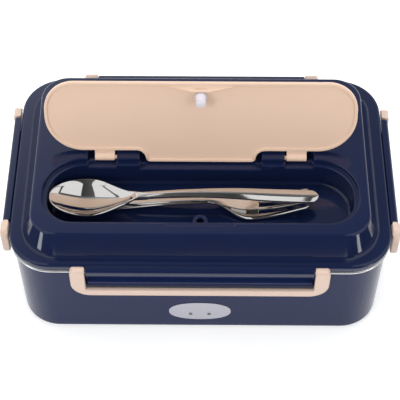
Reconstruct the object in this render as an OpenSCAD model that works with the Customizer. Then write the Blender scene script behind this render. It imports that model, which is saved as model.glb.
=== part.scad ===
// Electric lunch box: heated base, steel tray, clamped lid with a cutlery compartment.
// Millimetres. Origin under the centre of the base, +X right, +Y back, +Z up.
// Drawn as photographed: lid on, side latches closed, compartment cover open.

/* [Base shell] */
// Width of the base shell at its top edge
body_w = 250; // [244:1:280]
// Depth of the base shell at its top edge
body_d = 164; // [160:1:190]
// Corner radius of the base shell in plan
body_r = 27; // [25:0.5:34]
// Height of the shell's top edge above the table
body_top = 73.5; // [68:0.5:84]
// Wall of the base shell
shell_t = 2.6; // [2.2:0.1:3]
// How far the wall leans in from its top to its bottom round
shell_draft = 0.8; // [0.4:0.1:1.6]
// Radius of the round at the bottom of the wall
bottom_r = 6; // [6:0.5:9]
// Gap between the table and the shell
shell_lift = 1.5; // [1:0.1:2.5]
// Width of the lip inside the bottom round that carries the base cover
bottom_lip = 5; // [4:0.5:8]
// Height of that lip
lip_h = 2; // [1.6:0.1:2.4]

/* [Base cover and feet] */
// Thickness of the base cover
cover_t = 2.4; // [2:0.1:3]
// Play round the base cover
cover_play = 0.3; // [0.2:0.05:0.5]
// Radius of a rubber foot
foot_r = 7; // [5:0.5:9]
// Height of a rubber foot
foot_h = 2.1; // [1.8:0.1:3]
// Distance of a foot's centre from the base cover's edge
foot_in = 15; // [12:0.5:22]
// Shank radius of a base screw
screw_r = 1.5; // [1.2:0.1:1.8]
// Head radius of a base screw
screw_head_r = 2.9; // [2.4:0.1:3.4]
// Distance of a base screw's axis from the base cover's edge
screw_in = 4.4; // [4:0.1:5]
// Number of cooling slots in the base cover
slot_n = 9; // [3:1:13]
// Width of a cooling slot
slot_w = 2; // [1.5:0.1:3]
// Length of a cooling slot
slot_len = 26; // [16:1:36]
// Pitch of the cooling slots
slot_pitch = 6; // [5:0.5:7]

/* [Inner liner and heating] */
// Air gap between the shell and the inner liner
liner_gap = 2.4; // [1.8:0.1:2.8]
// Wall of the inner liner
liner_t = 1.8; // [1.4:0.1:2]
// Height of the liner's floor, top face
liner_floor = 24.2; // [23:0.1:27]
// Width of the heat plate
plate_w = 186; // [150:1:196]
// Depth of the heat plate
plate_d = 100; // [80:1:110]
// Thickness of the heat plate
plate_t = 2.6; // [2.2:0.1:3.2]
// How far the heat plate stands above the liner's floor
plate_rise = 0.8; // [0.4:0.1:1.2]
// Width of the flange on which the heat plate hangs in the liner
plate_flange = 4; // [3:0.5:6]
// Width of the heating block
heater_w = 70; // [50:1:90]
// Depth of the heating block
heater_d = 34; // [24:1:44]
// Thickness of the heating block
heater_t = 4.6; // [4:0.1:5]
// Thickness of the insulation pad under the heating block
pad_t = 1.6; // [1:0.1:2]
// Thickness of the clamp's sheet
clamp_t = 1; // [0.8:0.1:1.2]
// Width of the clamp strap
clamp_w = 16; // [10:1:22]
// Length of each foot of the clamp
clamp_foot = 9; // [8:0.5:12]
// Radius of the thermostat's can
thermostat_r = 8; // [6:0.5:9]
// Height of the thermostat's can
thermostat_h = 7; // [5:0.5:8]
// Distance of the thermostat's axis from the middle
thermostat_x = 62; // [56:1:76]
// Radius of the thermal fuse
fuse_r = 2; // [1.5:0.1:2.5]
// Length of the thermal fuse
fuse_len = 14; // [10:1:18]
// Distance of the thermal fuse from the middle
fuse_x = 58; // [54:1:76]
// Radius of an inner wire
wire_r = 1; // [0.8:0.1:1.2]

/* [Power inlet and indicator] */
// Width of the inlet's housing
inlet_w = 20; // [18:0.5:24]
// Height of the inlet's housing
inlet_h = 10.4; // [9.6:0.1:11]
// Depth of the inlet's housing
inlet_len = 17; // [14:0.5:20]
// Height of the inlet's centre above the table
inlet_z = 15.2; // [14.8:0.1:16]
// Wall of the inlet's housing
inlet_t = 1.8; // [1.4:0.1:2.2]
// Radius of an inlet pin
pin_r = 1.2; // [1:0.05:1.3]
// Distance between the inlet pins
pin_pitch = 8.6; // [8:0.1:9]
// Width of the indicator plate
badge_w = 42.5; // [34:0.5:50]
// Height of the indicator plate
badge_h = 20.8; // [16:0.1:22]
// Thickness of the indicator plate
badge_t = 1; // [0.8:0.1:1.2]
// Height of the indicator plate's centre
badge_z = 25.5; // [20.5:0.1:26]
// Radius of an indicator lens
lens_r = 1.3; // [1:0.1:1.8]
// Distance between the indicator lenses
lens_pitch = 12.7; // [10:0.1:16]
// Drop of the lenses below the plate's centre
lens_drop = 3.6; // [2:0.1:4.5]

/* [Steel tray] */
// How far the tray's rim stands beyond the shell at each side
rim_over_x = 2; // [1.6:0.1:2.4]
// How far the tray's rim stands beyond the shell at front and back
rim_over_y = 0.8; // [0.6:0.1:1]
// Thickness of the tray's sheet
steel_t = 0.6; // [0.5:0.05:0.8]
// Radius of the rolled edge
roll_r = 1.1; // [0.9:0.05:1.1]
// Width of the tray's flange, from its outer edge to the wall
rim_w = 11; // [10.5:0.1:12]
// How far the tray's wall leans in
tray_draft = 2.5; // [1.5:0.1:3]
// Radius of the round at the foot of the tray's wall
tray_r = 9; // [6:0.5:10]

/* [Lid] */
// How far the lid's skirt stands beyond the shell at each side
lid_over_x = 2.75; // [2.2:0.05:3.2]
// How far the lid's skirt stands beyond the shell at front and back
lid_over_y = 0.1; // [0:0.05:0.3]
// Corner radius of the lid in plan
lid_r = 29; // [27:0.5:32]
// Wall of the lid
lid_t = 2.4; // [2:0.1:2.6]
// Height of the skirt round the lid
skirt_h = 4.9; // [4.7:0.1:5.4]
// Rise from the brim to the deck
dome_h = 16.5; // [16:0.5:20]
// Width of the brim at each side
brim_x = 8.8; // [8:0.1:10]
// Width of the brim at front and back
brim_y = 7; // [6.6:0.1:8]
// How far the dome's wall leans in
dome_lean = 6.9; // [5:0.1:8]
// Radius where the dome's wall meets the deck
dome_round = 1.8; // [1:0.1:2.2]
// Radius where the dome's wall meets the brim
brim_fillet = 2; // [1.2:0.1:2.6]
// Half length of the front and back latch flanges
flange_x = 75.3; // [64:0.1:80]
// Half length of the side latch flanges
flange_y = 45; // [36:0.1:47]
// How far the side flanges stand out from the skirt
flange_out_x = 5.3; // [4.6:0.1:6]
// How far the front and back flanges stand out from the skirt
flange_out_y = 4.3; // [4.3:0.1:5]
// Depth of the lid's liner plug below the brim's underside
plug_drop = 8.2; // [7.8:0.1:9]
// Wall of the lid's liner
lid_liner_t = 1.8; // [1.4:0.1:2]
// Side of the silicone seal's section
seal_w = 4.2; // [3.6:0.1:4.6]
// Distance of the seal from the outside of the skirt
seal_in = 5.4; // [5:0.1:5.8]

/* [Cutlery compartment] */
// Width of the compartment at deck level
tub_w = 211; // [206:0.5:214]
// Depth of the compartment at deck level, front to back
tub_d = 52.7; // [51:0.1:56]
// Place of the compartment's centre behind the middle of the lid
tub_y = -32.05; // [-33:0.05:-30]
// Radius of the compartment's back corners
tub_back_r = 27; // [22:0.5:28]
// Radius of the compartment's front corners
tub_front_r = 21; // [16:0.5:24]
// Depth of the compartment's floor below the deck
tub_h = 21; // [20.5:0.1:21.5]
// Width of the ledge that carries the cover
ledge_w = 3; // [2.4:0.1:3.4]
// Depth of the ledge below the deck
ledge_h = 3.5; // [3.4:0.1:4]
// Wall of the compartment
tub_t = 2; // [1.6:0.1:2.2]
// Outer radius of the steam vent's chimney
vent_r = 5.3; // [4.8:0.1:6]
// Radius of the steam hole
vent_hole_r = 2.4; // [2:0.1:2.8]
// Height of the vent's chimney above the compartment floor
vent_h = 8; // [6:0.5:9]
// Distance of the vent's axis in front of the cover's hinge
vent_reach = 45.8; // [44.6:0.1:47]

/* [Compartment cover] */
// Angle at which the open cover stands, from closed
open_angle = 112.5; // [100:0.5:115]
// Play round the closed cover
cover_gap = 0.6; // [0.4:0.05:0.8]
// Further gap behind the cover, which swings back a little as it opens
back_gap = 0.4; // [0.4:0.05:0.6]
// Thickness of the cover's panel
panel_t = 2.2; // [1.8:0.1:2.4]
// Distance of the hinge axis behind the cover's back edge
hinge_back = 4.7; // [4.7:0.1:5]
// Depth of the hinge axis below the deck
hinge_deep = 2.8; // [2.6:0.1:2.8]
// Radius of the cover's hinge pin
trunnion_r = 1.5; // [1.3:0.05:1.6]
// Running clearance round the cover's hinge pins
trunnion_play = 0.06; // [0.04:0.01:0.09]
// Length of a hinge pin inside the lid
trunnion_len = 4.8; // [3.5:0.1:5.5]
// Width of a hinge tab
tab_w = 13.6; // [10:0.1:15]
// Distance of a tab's inner face from the middle
tab_x = 58.5; // [57:0.1:62]
// Gap between a tab and the notch on its inner side
notch_in = 1.4; // [1:0.1:2]
// Gap between a tab and the notch on its outer side
notch_out = 4.6; // [3:0.1:5]
// Half width of the cover's tongue
tongue_x = 37.4; // [30:0.1:39]
// Length of the tongue behind the cover's back edge
tongue_len = 8.2; // [7:0.1:8.4]
// Gap between the tongue and its pocket at each side
pocket_gap = 4.1; // [2:0.1:5]
// Distance of the locating ridge from the cover's edge
ridge_in = 2.8; // [2.7:0.1:3.6]
// Width of the locating ridge
ridge_w = 1.2; // [1:0.1:1.8]
// Height of the locating ridge under the panel
ridge_h = 1.7; // [1.2:0.1:2.2]
// Height of the ridge in front of the plug
apex_h = 3.8; // [2:0.1:3.9]
// Half width at which the ridge starts to dip towards the plug
dip_x = 26; // [16:0.5:34]
// Radius of the plug's foot
plug_r = 4.3; // [4:0.1:5]
// Length of the silicone plug under the panel
plug_len = 11.4; // [10.9:0.1:12.4]

/* [Latches] */
// Width of a latch arm
arm_w = 9.8; // [8:0.1:11]
// Thickness of a latch
latch_t = 3.1; // [2.8:0.1:3.3]
// Gap between a latch arm and the flange's end
arm_gap = 0.4; // [0.3:0.05:0.6]
// Radius of the latch's knuckle
knuckle_r = 2.9; // [2.7:0.05:3]
// Radius of a latch pin
latch_pin_r = 1.1; // [0.9:0.05:1.2]
// Running clearance round a latch pin
latch_pin_play = 0.08; // [0.04:0.01:0.1]
// Depth of a latch pin in the flange and in the arm
latch_pin_in = 6.4; // [5:0.1:7.4]
// Distance of the latch pin's axis inside the flange's face
pivot_in = 1.9; // [1.8:0.05:2.1]
// Height of the latch pin's axis above the skirt's foot
pivot_up = 2.6; // [2.4:0.05:2.8]
// Length of a latch from its pin to its lower edge
latch_len = 25.4; // [23:0.1:28]
// Height of the latch's cross bar
bar_h = 6.6; // [5.5:0.1:8]
// Radius of the latch's lower outer corners
latch_corner = 13; // [8:0.5:14]
// Height of a catch rib on the shell
rib_h = 5.3; // [4:0.1:6]
// Gap between a closed latch's bar and the catch rib, up and out
rib_gap = 0.8; // [0.5:0.1:1.2]
// Gap between the rib's crest and the bar's inner face
crest_gap = 0.15; // [0.12:0.01:0.3]

/* [Cutlery] */
// Length of the spoon
spoon_len = 182; // [160:1:184]
// Half width of the spoon's bowl
bowl_half = 15; // [12:0.5:17]
// Length of the spoon's bowl
bowl_len = 58; // [48:1:62]
// Depth of the spoon's bowl
bowl_deep = 7.6; // [5:0.1:7.8]
// Distance of the spoon's bowl end from the middle of the box
spoon_start = 102.2; // [101:0.1:102.2]
// Length of the fork
fork_len = 171; // [150:1:174]
// Distance of the fork's handle end from the middle of the box
fork_start = 98; // [96:0.5:100]
// Hollow across the fork's head
fork_dish = 0.2; // [0.05:0.05:0.3]
// Half width of the fork's head
fork_half = 12.4; // [9:0.1:13]
// Length of the fork's tines
tine_len = 36; // [28:1:42]
// Width of a slot between two tines
tine_gap = 2.6; // [2:0.1:3.2]
// Thickness of the cutlery's metal
cutlery_t = 1.8; // [1.4:0.1:2]

/* [Hidden] */
navy = [0.235, 0.259, 0.361];
peach = [0.89, 0.78, 0.71];
steel = [0.78, 0.79, 0.8];
aluminium = [0.82, 0.83, 0.84];
silicone = [0.93, 0.91, 0.9];
liner_grey = [0.3, 0.32, 0.38];
soft_black = [0.12, 0.12, 0.13];

eps = 0.01;
slack = 0.05;
curve_fn = 96;
small_fn = 48;

// Heights worked out from the driving sizes
plate_top = liner_floor + plate_rise;
plate_low = plate_top - plate_t;
cover_low = shell_lift;
cover_top = cover_low + cover_t;
lip_top = cover_top + lip_h;
tray_low = plate_top + slack;
roll_z = body_top + 0.15 + roll_r;
rim_top = roll_z + roll_r;
flange_top = roll_z + steel_t / 2;
skirt_low = rim_top + 0.25;
brim_top = skirt_low + skirt_h;
brim_low = brim_top - lid_t;
deck_top = brim_top + dome_h;
deck_low = deck_top - lid_t;
tub_floor = deck_top - tub_h;
ledge_z = deck_top - ledge_h;
pivot_z = skirt_low + pivot_up;
latch_low = pivot_z - latch_len;
bar_top = latch_low + bar_h;
rib_low = bar_top + rib_gap;

// Plan sizes worked out from the driving sizes
lid_w = body_w + 2 * lid_over_x;
lid_d = body_d + 2 * lid_over_y;
dome_w = lid_w - 2 * brim_x;
dome_d = lid_d - 2 * brim_y;
dome_r = lid_r - (brim_x + brim_y) / 4;
steel_w = body_w + 2 * rim_over_x;
steel_d = body_d + 2 * rim_over_y;
steel_r = body_r + (rim_over_x + rim_over_y) / 2;
liner_in = shell_t + liner_gap;
liner_w = body_w - 2 * liner_in;
liner_d = body_d - 2 * liner_in;
liner_r = body_r - liner_in;
cover_in = shell_draft + bottom_r;
bottom_w = body_w - 2 * cover_in - 2 * cover_play;
bottom_d = body_d - 2 * cover_in - 2 * cover_play;
bottom_plan_r = body_r - cover_in - cover_play;
face_x = lid_w / 2 + flange_out_x;
face_y = lid_d / 2 + flange_out_y;
hinge_y = tub_y + tub_d / 2 - cover_gap + hinge_back;
hinge_z = deck_top - hinge_deep;
vent_y = hinge_y - vent_reach;
notch_back = hinge_y + hinge_back + 0.2;
pocket_low = hinge_z - norm([tongue_len - hinge_back, hinge_deep]) - 0.5;
panel_low = deck_top - panel_t;

// Sides of the box that carry a latch: turn about Z, distance of the flange's face,
// half length of the flange, distance of the shell's wall
SIDES = [
    [0, face_y, flange_x, body_d / 2],
    [180, face_y, flange_x, body_d / 2],
    [-90, face_x, flange_y, body_w / 2],
    [90, face_x, flange_y, body_w / 2]
];

// Shell's lean at a height, as a distance inward
function lean(z) = shell_draft * (body_top - z) / (body_top - shell_lift - bottom_r);

// Points along an arc
function arc(cx, cy, r, a0, a1, n = 8) =
    [for (i = [0:n]) let (a = a0 + (a1 - a0) * i / n) [cx + r * cos(a), cy + r * sin(a)]];

// Soft step from 0 to 1 between two places
function rise(x, x0, x1) =
    let (t = max(0, min(1, (x - x0) / (x1 - x0)))) t * t * (3 - 2 * t);

// Rounded rectangle in plan
module rounded(w, d, r) {
    square([w - 2 * r, d], center = true);
    square([w, d - 2 * r], center = true);
    for (sx = [-1, 1], sy = [-1, 1])
        translate([sx * (w / 2 - r), sy * (d / 2 - r)])
            circle(r, $fn = curve_fn);
}

// Carries a section round a rounded rectangle; the section's X points outward from the path
module frame_sweep(w, d, r) {
    for (k = [0:3])
        rotate(90 * k) {
            a = k % 2 == 0 ? w / 2 : d / 2;
            b = k % 2 == 0 ? d / 2 : w / 2;
            translate([a, b - r, 0])
                rotate([90, 0, 0])
                    linear_extrude(2 * (b - r))
                        children();
            translate([a - r, b - r, 0])
                rotate_extrude(angle = 90, $fn = curve_fn)
                    translate([r, 0])
                        children();
        }
}

// Runs a section along one side; the section's X points out of the side
module side_bar(half) {
    translate([-half, 0, 0])
        rotate([90, 0, 90])
            mirror([1, 0, 0])
                linear_extrude(2 * half)
                    children();
}

// Puts a piece drawn at the front on the side it belongs to
module at_side(s) {
    rotate(s[0])
        translate([0, -s[1], 0])
            children();
}

// Cylinder along X from x0 to x1
module x_rod(x0, x1, r) {
    translate([x0, 0, 0])
        rotate([0, 90, 0])
            cylinder(h = x1 - x0, r = r, $fn = small_fn);
}

// Compartment outline at an inset; the back corners are rounder than the front ones
module tub_plan(inset = 0, back_in = 0) {
    w = tub_w - 2 * inset;
    back_r = tub_back_r - inset;
    front_r = tub_front_r - inset;
    front = inset - tub_d / 2;
    mid = tub_d / 2 - inset - back_in - back_r;
    translate([0, tub_y]) {
        translate([-w / 2, front + front_r])
            square([w, mid - front - front_r]);
        translate([front_r - w / 2, front])
            square([w - 2 * front_r, mid - front]);
        translate([back_r - w / 2, mid - 2])
            square([w - 2 * back_r, back_r + 2]);
        for (m = [-1, 1]) {
            translate([m * (w / 2 - front_r), front + front_r])
                circle(front_r, $fn = curve_fn);
            intersection() {
                translate([m * (w / 2 - back_r), mid])
                    circle(back_r, $fn = curve_fn);
                translate([-w, mid - 2])
                    square([2 * w, back_r + 4]);
            }
        }
    }
}

// Oval of the indicator plate
module badge_plan(grow = 0) {
    a = badge_w / 2 + grow;
    b = badge_h / 2 + grow;
    polygon([for (i = [0:63]) let (t = i * 360 / 64) [
        a * sign(cos(t)) * pow(abs(cos(t)), 0.86),
        b * sign(sin(t)) * pow(abs(sin(t)), 0.9)
    ]]);
}

// Stadium of the power inlet
module inlet_plan(grow = 0) {
    h = inlet_h + 2 * grow;
    w = inlet_w + 2 * grow;
    square([w - h, h], center = true);
    for (s = [-1, 1])
        translate([s * (w - h) / 2, 0])
            circle(h / 2, $fn = small_fn);
}

module shell_section() {
    inner_r = bottom_r - shell_t;
    lip_a = -asin((bottom_r - cover_t - lip_h) / inner_r);
    polygon(concat(
        [[0, body_top]],
        arc(-cover_in, shell_lift + bottom_r, bottom_r, 0, -90),
        [
            [-cover_in, cover_top],
            [-cover_in - bottom_lip, cover_top],
            [-cover_in - bottom_lip, lip_top]
        ],
        arc(-cover_in, shell_lift + bottom_r, inner_r, lip_a, 0),
        [[-shell_t, body_top]]
    ));
}

// Catch rib under which a latch's bar closes
module rib_section(s) {
    crest = -pivot_in - 0.2 - crest_gap;
    wall_u = s[3] - s[1] - 1.5;
    rib_top = rib_low + rib_h;
    polygon([
        [wall_u, rib_low - 2.5],
        [crest - 0.8, rib_low],
        [crest, rib_low + 0.8],
        [crest, rib_top - 0.8],
        [crest - 0.8, rib_top],
        [wall_u, rib_top + 1.2]
    ]);
}

// Places of the base screws: four on the long edges of the base cover
module at_base_screws() {
    for (sx = [-1, 1], sy = [-1, 1])
        translate([
            sx * (bottom_w / 2 - bottom_plan_r - 6),
            sy * (bottom_d / 2 - screw_in),
            0
        ])
            children();
}

module at_feet() {
    for (sx = [-1, 1], sy = [-1, 1])
        translate([sx * (bottom_w / 2 - foot_in), sy * (bottom_d / 2 - foot_in), 0])
            children();
}

// Turns a plan into a plate that faces the front, from y0 back to y0 + t
module facing(y0, t) {
    translate([0, y0 + t, 0])
        rotate([90, 0, 0])
            linear_extrude(t)
                children();
}

badge_back = -(body_d / 2 - lean(badge_z) - 0.6);
lens_z = badge_z - lens_drop;
wall_back = -(body_d / 2 - lean(lens_z) - shell_t);
inlet_face = body_d / 2 - lean(inlet_z + inlet_h / 2 + 1.2);

module outer_shell() {
    color(navy)
        difference() {
            union() {
                frame_sweep(body_w, body_d, body_r)
                    shell_section();
                for (s = SIDES)
                    at_side(s)
                        side_bar(s[2] - 0.8)
                            rib_section(s);
                at_base_screws()
                    translate([0, 0, cover_top])
                        cylinder(h = 9, r = screw_r + 2.2, $fn = small_fn);
            }
            facing(badge_back - 3, 3)
                translate([0, badge_z])
                    badge_plan(0.1);
            for (sx = [-1, 1])
                translate([sx * lens_pitch / 2, badge_back - 1, lens_z])
                    rotate([-90, 0, 0])
                        cylinder(h = 6, r = lens_r + 0.04, $fn = small_fn);
            facing(inlet_face - shell_t - 3, shell_t + 6)
                translate([0, inlet_z])
                    inlet_plan(0.15);
            at_base_screws()
                translate([0, 0, cover_top - 1])
                    cylinder(h = 8.5, r = screw_r, $fn = small_fn);
        }
}

module base_cover() {
    color(soft_black)
        difference() {
            translate([0, 0, cover_low])
                linear_extrude(cover_t)
                    rounded(bottom_w, bottom_d, bottom_plan_r);
            at_base_screws() {
                translate([0, 0, cover_low - 1])
                    cylinder(h = cover_t + 2, r = screw_r + 0.15, $fn = small_fn);
                translate([0, 0, cover_low - eps])
                    cylinder(h = 1.5, r = screw_head_r + 0.15, $fn = small_fn);
            }
            at_feet()
                translate([0, 0, -eps])
                    cylinder(h = foot_h + eps, r = foot_r + 0.1, $fn = small_fn);
            for (i = [0:slot_n - 1])
                translate([(i - (slot_n - 1) / 2) * slot_pitch, 0, cover_low - 1])
                    linear_extrude(cover_t + 2)
                        rounded(slot_w, slot_len, slot_w / 2 - eps);
        }
}

module feet() {
    color(soft_black)
        at_feet() {
            cylinder(h = foot_h, r = foot_r, $fn = small_fn);
        }
}

module base_screws() {
    color(steel)
        at_base_screws() {
            translate([0, 0, cover_low + 0.1])
                difference() {
                    cylinder(h = 1.38, r = screw_head_r, $fn = small_fn);
                    for (a = [0, 90])
                        rotate(a)
                            translate([0, 0, 0.4])
                                cube([0.6 + screw_head_r, 0.7, 0.82], center = true);
                }
            translate([0, 0, cover_low + 1.4])
                cylinder(h = 6.4, r = screw_r - 0.03, $fn = small_fn);
        }
}

liner_draft = 1.5;
liner_round = 8;

module liner_section() {
    flange_u = liner_gap - 0.3;
    top = body_top - 0.6;
    low = liner_floor - liner_t;
    in = liner_draft + liner_round;
    polygon(concat(
        [[flange_u, top], [flange_u, top - liner_t], [0, top - liner_t]],
        arc(-in, low + liner_round, liner_round, 0, -90),
        [[-in - 4, low], [-in - 4, liner_floor]],
        arc(-in, low + liner_round, liner_round - liner_t, -90, 0),
        [[-liner_t, top]]
    ));
}

module inner_liner() {
    in = liner_draft + liner_round + 2;
    color(liner_grey)
        difference() {
            union() {
                frame_sweep(liner_w, liner_d, liner_r)
                    liner_section();
                translate([0, 0, liner_floor - liner_t])
                    linear_extrude(liner_t)
                        rounded(liner_w - 2 * in, liner_d - 2 * in, liner_r - in);
            }
            translate([0, 0, liner_floor - liner_t - 1])
                linear_extrude(liner_t + 2)
                    rounded(
                        plate_w - 2 * plate_flange + 0.4,
                        plate_d - 2 * plate_flange + 0.4,
                        8.2
                    );
        }
}

module at_clamp_screws() {
    for (s = [-1, 1])
        translate([0, s * (heater_d / 2 + 0.6 + clamp_foot - 3.4), plate_low])
            children();
}

module heat_plate() {
    color(aluminium)
        difference() {
            union() {
                translate([0, 0, liner_floor])
                    linear_extrude(plate_rise)
                        rounded(plate_w, plate_d, 12);
                translate([0, 0, plate_low])
                    linear_extrude(plate_t)
                        rounded(plate_w - 2 * plate_flange, plate_d - 2 * plate_flange, 8);
            }
            at_clamp_screws()
                translate([0, 0, -1])
                    cylinder(h = 2.8, r = 1.3, $fn = small_fn);
        }
}

module heating_block() {
    color(aluminium)
        translate([0, 0, plate_low - heater_t])
            difference() {
                linear_extrude(heater_t)
                    rounded(heater_w, heater_d, 2);
                for (s = [-1, 1])
                    translate([0, s * heater_d / 4, heater_t / 2])
                        cube([heater_w + 1, 1.2, 1], center = true);
            }
}

module insulation_pad() {
    color([0.85, 0.8, 0.66])
        translate([0, 0, plate_low - heater_t - pad_t])
            linear_extrude(pad_t)
                rounded(heater_w - 6, heater_d - 1, 1);
}

module heater_clamp() {
    inner = heater_d / 2 + 0.6;
    deep = heater_t + pad_t + clamp_t;
    color(steel)
        difference() {
            translate([-clamp_w / 2, 0, plate_low])
                rotate([90, 0, 90])
                    linear_extrude(clamp_w) {
                        translate([-inner - clamp_t, -deep])
                            square([2 * (inner + clamp_t), clamp_t]);
                        for (s = [-1, 1]) {
                            translate([s * (inner + clamp_t / 2), -deep / 2])
                                square([clamp_t, deep], center = true);
                            translate([s * (inner + clamp_foot / 2), -clamp_t / 2])
                                square([clamp_foot, clamp_t], center = true);
                        }
                    }
            at_clamp_screws()
                translate([0, 0, -2])
                    cylinder(h = 4, r = 1.5, $fn = small_fn);
        }
}

module clamp_screws() {
    color(steel)
        at_clamp_screws() {
            translate([0, 0, -clamp_t - 1.8])
                cylinder(h = 1.8, r = 2.6, $fn = small_fn);
            translate([0, 0, -clamp_t - eps])
                cylinder(h = clamp_t + 1.6, r = 1.28, $fn = small_fn);
        }
}

terminal_z = plate_low - thermostat_h / 2;

module thermostat() {
    color(steel)
        translate([thermostat_x, 0, 0]) {
            translate([0, 0, plate_low - thermostat_h])
                cylinder(h = thermostat_h, r = thermostat_r, $fn = small_fn);
            for (s = [-1, 1])
                translate([0, s * (thermostat_r + 1), terminal_z])
                    cube([5, 4, 1.6], center = true);
        }
}

module thermal_fuse() {
    color([0.87, 0.86, 0.8])
        translate([-fuse_x, fuse_len / 2, plate_low - fuse_r])
            rotate([90, 0, 0])
                cylinder(h = fuse_len, r = fuse_r, $fn = small_fn);
}

// Round wire along a list of points, square legs joined by round bends
module wire(points) {
    bend = 2.2 * wire_r;
    n = len(points);
    for (i = [0:n - 2]) {
        d = points[i + 1] - points[i];
        way = d / norm(d);
        skip_a = i > 0 ? bend : 0;
        skip_b = i < n - 2 ? bend : 0;
        side = abs(way[2]) > 0.5 ? [1, 0, 0] : [0, 0, 1];
        p = points[i] + way * skip_a;
        multmatrix(basis(side, cross(way, side), way, p))
            cylinder(h = norm(d) - skip_a - skip_b, r = wire_r, $fn = 24);
        if (i > 0) {
            from = points[i] - points[i - 1];
            a = from / norm(from);
            multmatrix(basis(-way, a, cross(a, way), points[i] + bend * (way - a)))
                rotate_extrude(angle = 90, $fn = 24)
                    translate([bend, 0])
                        circle(wire_r, $fn = 24);
        }
    }
}

function basis(x, y, z, p) = [
    [x[0], y[0], z[0], p[0]],
    [x[1], y[1], z[1], p[1]],
    [x[2], y[2], z[2], p[2]],
    [0, 0, 0, 1]
];

pin_back = inlet_face - inlet_len - 4;

// Legs of one wire from an end terminal down, along and up to another one
module inner_wires() {
    drop = 6;
    low_z = inlet_z - drop;
    back_y = pin_back - drop;
    px = pin_pitch / 2;
    bx = heater_w / 2;
    tx = thermostat_x;
    ty = thermostat_r + 3;
    fx = fuse_x;
    fy = fuse_len / 2;
    block_z = plate_low - heater_t / 2;
    fuse_z = plate_low - fuse_r;
    color([0.72, 0.12, 0.1]) {
        wire([
            [px, pin_back, inlet_z],
            [px, back_y, inlet_z],
            [px, back_y, low_z],
            [tx, back_y, low_z],
            [tx, ty + drop, low_z],
            [tx, ty + drop, terminal_z],
            [tx, ty, terminal_z]
        ]);
        wire([
            [tx, -ty, terminal_z],
            [tx, -ty - drop, terminal_z],
            [tx, -ty - drop, low_z],
            [bx + drop, -ty - drop, low_z],
            [bx + drop, -drop, low_z],
            [bx + drop, -drop, block_z],
            [bx, -drop, block_z]
        ]);
    }
    color([0.12, 0.2, 0.6]) {
        wire([
            [-px, pin_back, inlet_z],
            [-px, back_y, inlet_z],
            [-px, back_y, low_z],
            [-fx, back_y, low_z],
            [-fx, fy + drop, low_z],
            [-fx, fy + drop, fuse_z],
            [-fx, fy, fuse_z]
        ]);
        wire([
            [-fx, -fy, fuse_z],
            [-fx, -fy - drop, fuse_z],
            [-fx, -fy - drop, low_z],
            [-bx - drop, -fy - drop, low_z],
            [-bx - drop, -drop, low_z],
            [-bx - drop, -drop, block_z],
            [-bx, -drop, block_z]
        ]);
    }
}

module power_inlet() {
    cavity = inlet_len - 4;
    color(soft_black)
        difference() {
            union() {
                facing(inlet_face - inlet_len, inlet_len + 0.5)
                    translate([0, inlet_z])
                        inlet_plan();
                facing(inlet_face, 0.8)
                    translate([0, inlet_z])
                        inlet_plan(1.2);
            }
            facing(inlet_face - cavity, cavity + 2)
                translate([0, inlet_z])
                    inlet_plan(-inlet_t);
            for (s = [-1, 1])
                translate([s * pin_pitch / 2, inlet_face - inlet_len - 1, inlet_z])
                    rotate([-90, 0, 0])
                        cylinder(h = 8, r = pin_r, $fn = small_fn);
        }
}

module inlet_pins() {
    color([0.8, 0.65, 0.35])
        for (s = [-1, 1])
            translate([s * pin_pitch / 2, pin_back, inlet_z])
                rotate([-90, 0, 0])
                    cylinder(h = inlet_len + 1.5, r = pin_r, $fn = small_fn);
}

module indicator_plate() {
    color(steel)
        difference() {
            facing(badge_back - badge_t, badge_t)
                translate([0, badge_z])
                    badge_plan();
            for (s = [-1, 1])
                translate([s * lens_pitch / 2, badge_back - 3, lens_z])
                    rotate([-90, 0, 0])
                        cylinder(h = 6, r = lens_r + 0.04, $fn = small_fn);
        }
}

module indicator_lenses() {
    color([0.55, 0.08, 0.08])
        for (s = [-1, 1])
            translate([s * lens_pitch / 2, badge_back - badge_t - 0.2, lens_z])
                rotate([-90, 0, 0])
                    cylinder(
                        h = wall_back - badge_back + badge_t + 0.4,
                        r = lens_r,
                        $fn = small_fn
                    );
}

module indicator_leds() {
    color([0.9, 0.9, 0.88])
        for (s = [-1, 1])
            translate([s * lens_pitch / 2, wall_back + 0.3, lens_z])
                rotate([-90, 0, 0])
                    cylinder(h = 2.4, r = 1.5, $fn = small_fn);
}

module indicator_board() {
    color([0.1, 0.4, 0.2])
        facing(wall_back + 2.7, 1.2)
            translate([-lens_pitch / 2 - 5, lip_top])
                square([lens_pitch + 10, lens_z + 3 - lip_top]);
}

module tray_section() {
    in = rim_w + tray_draft + tray_r;
    translate([-roll_r, roll_z])
        circle(roll_r, $fn = small_fn);
    translate([-rim_w - steel_t, roll_z - steel_t / 2])
        square([rim_w + steel_t - roll_r, steel_t]);
    polygon(concat(
        [[-rim_w, flange_top]],
        arc(-in, tray_low + tray_r, tray_r, 0, -90),
        [[-in - 1.5, tray_low], [-in - 1.5, tray_low + steel_t]],
        arc(-in, tray_low + tray_r, tray_r - steel_t, -90, 0),
        [[-rim_w - steel_t, flange_top]]
    ));
}

module steel_tray() {
    in = rim_w + tray_draft + tray_r + 0.5;
    color(steel) {
        frame_sweep(steel_w, steel_d, steel_r)
            tray_section();
        translate([0, 0, tray_low])
            linear_extrude(steel_t)
                rounded(steel_w - 2 * in, steel_d - 2 * in, max(1, steel_r - in));
    }
}

module brim_section() {
    polygon(concat(
        [[0, skirt_low]],
        arc(-2, brim_top - 2, 2, 0, 90),
        [
            [-brim_x - 3.2, brim_top],
            [-brim_x - 3.2, brim_low],
            [-lid_t, brim_low],
            [-lid_t, skirt_low]
        ]
    ));
}

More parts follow.
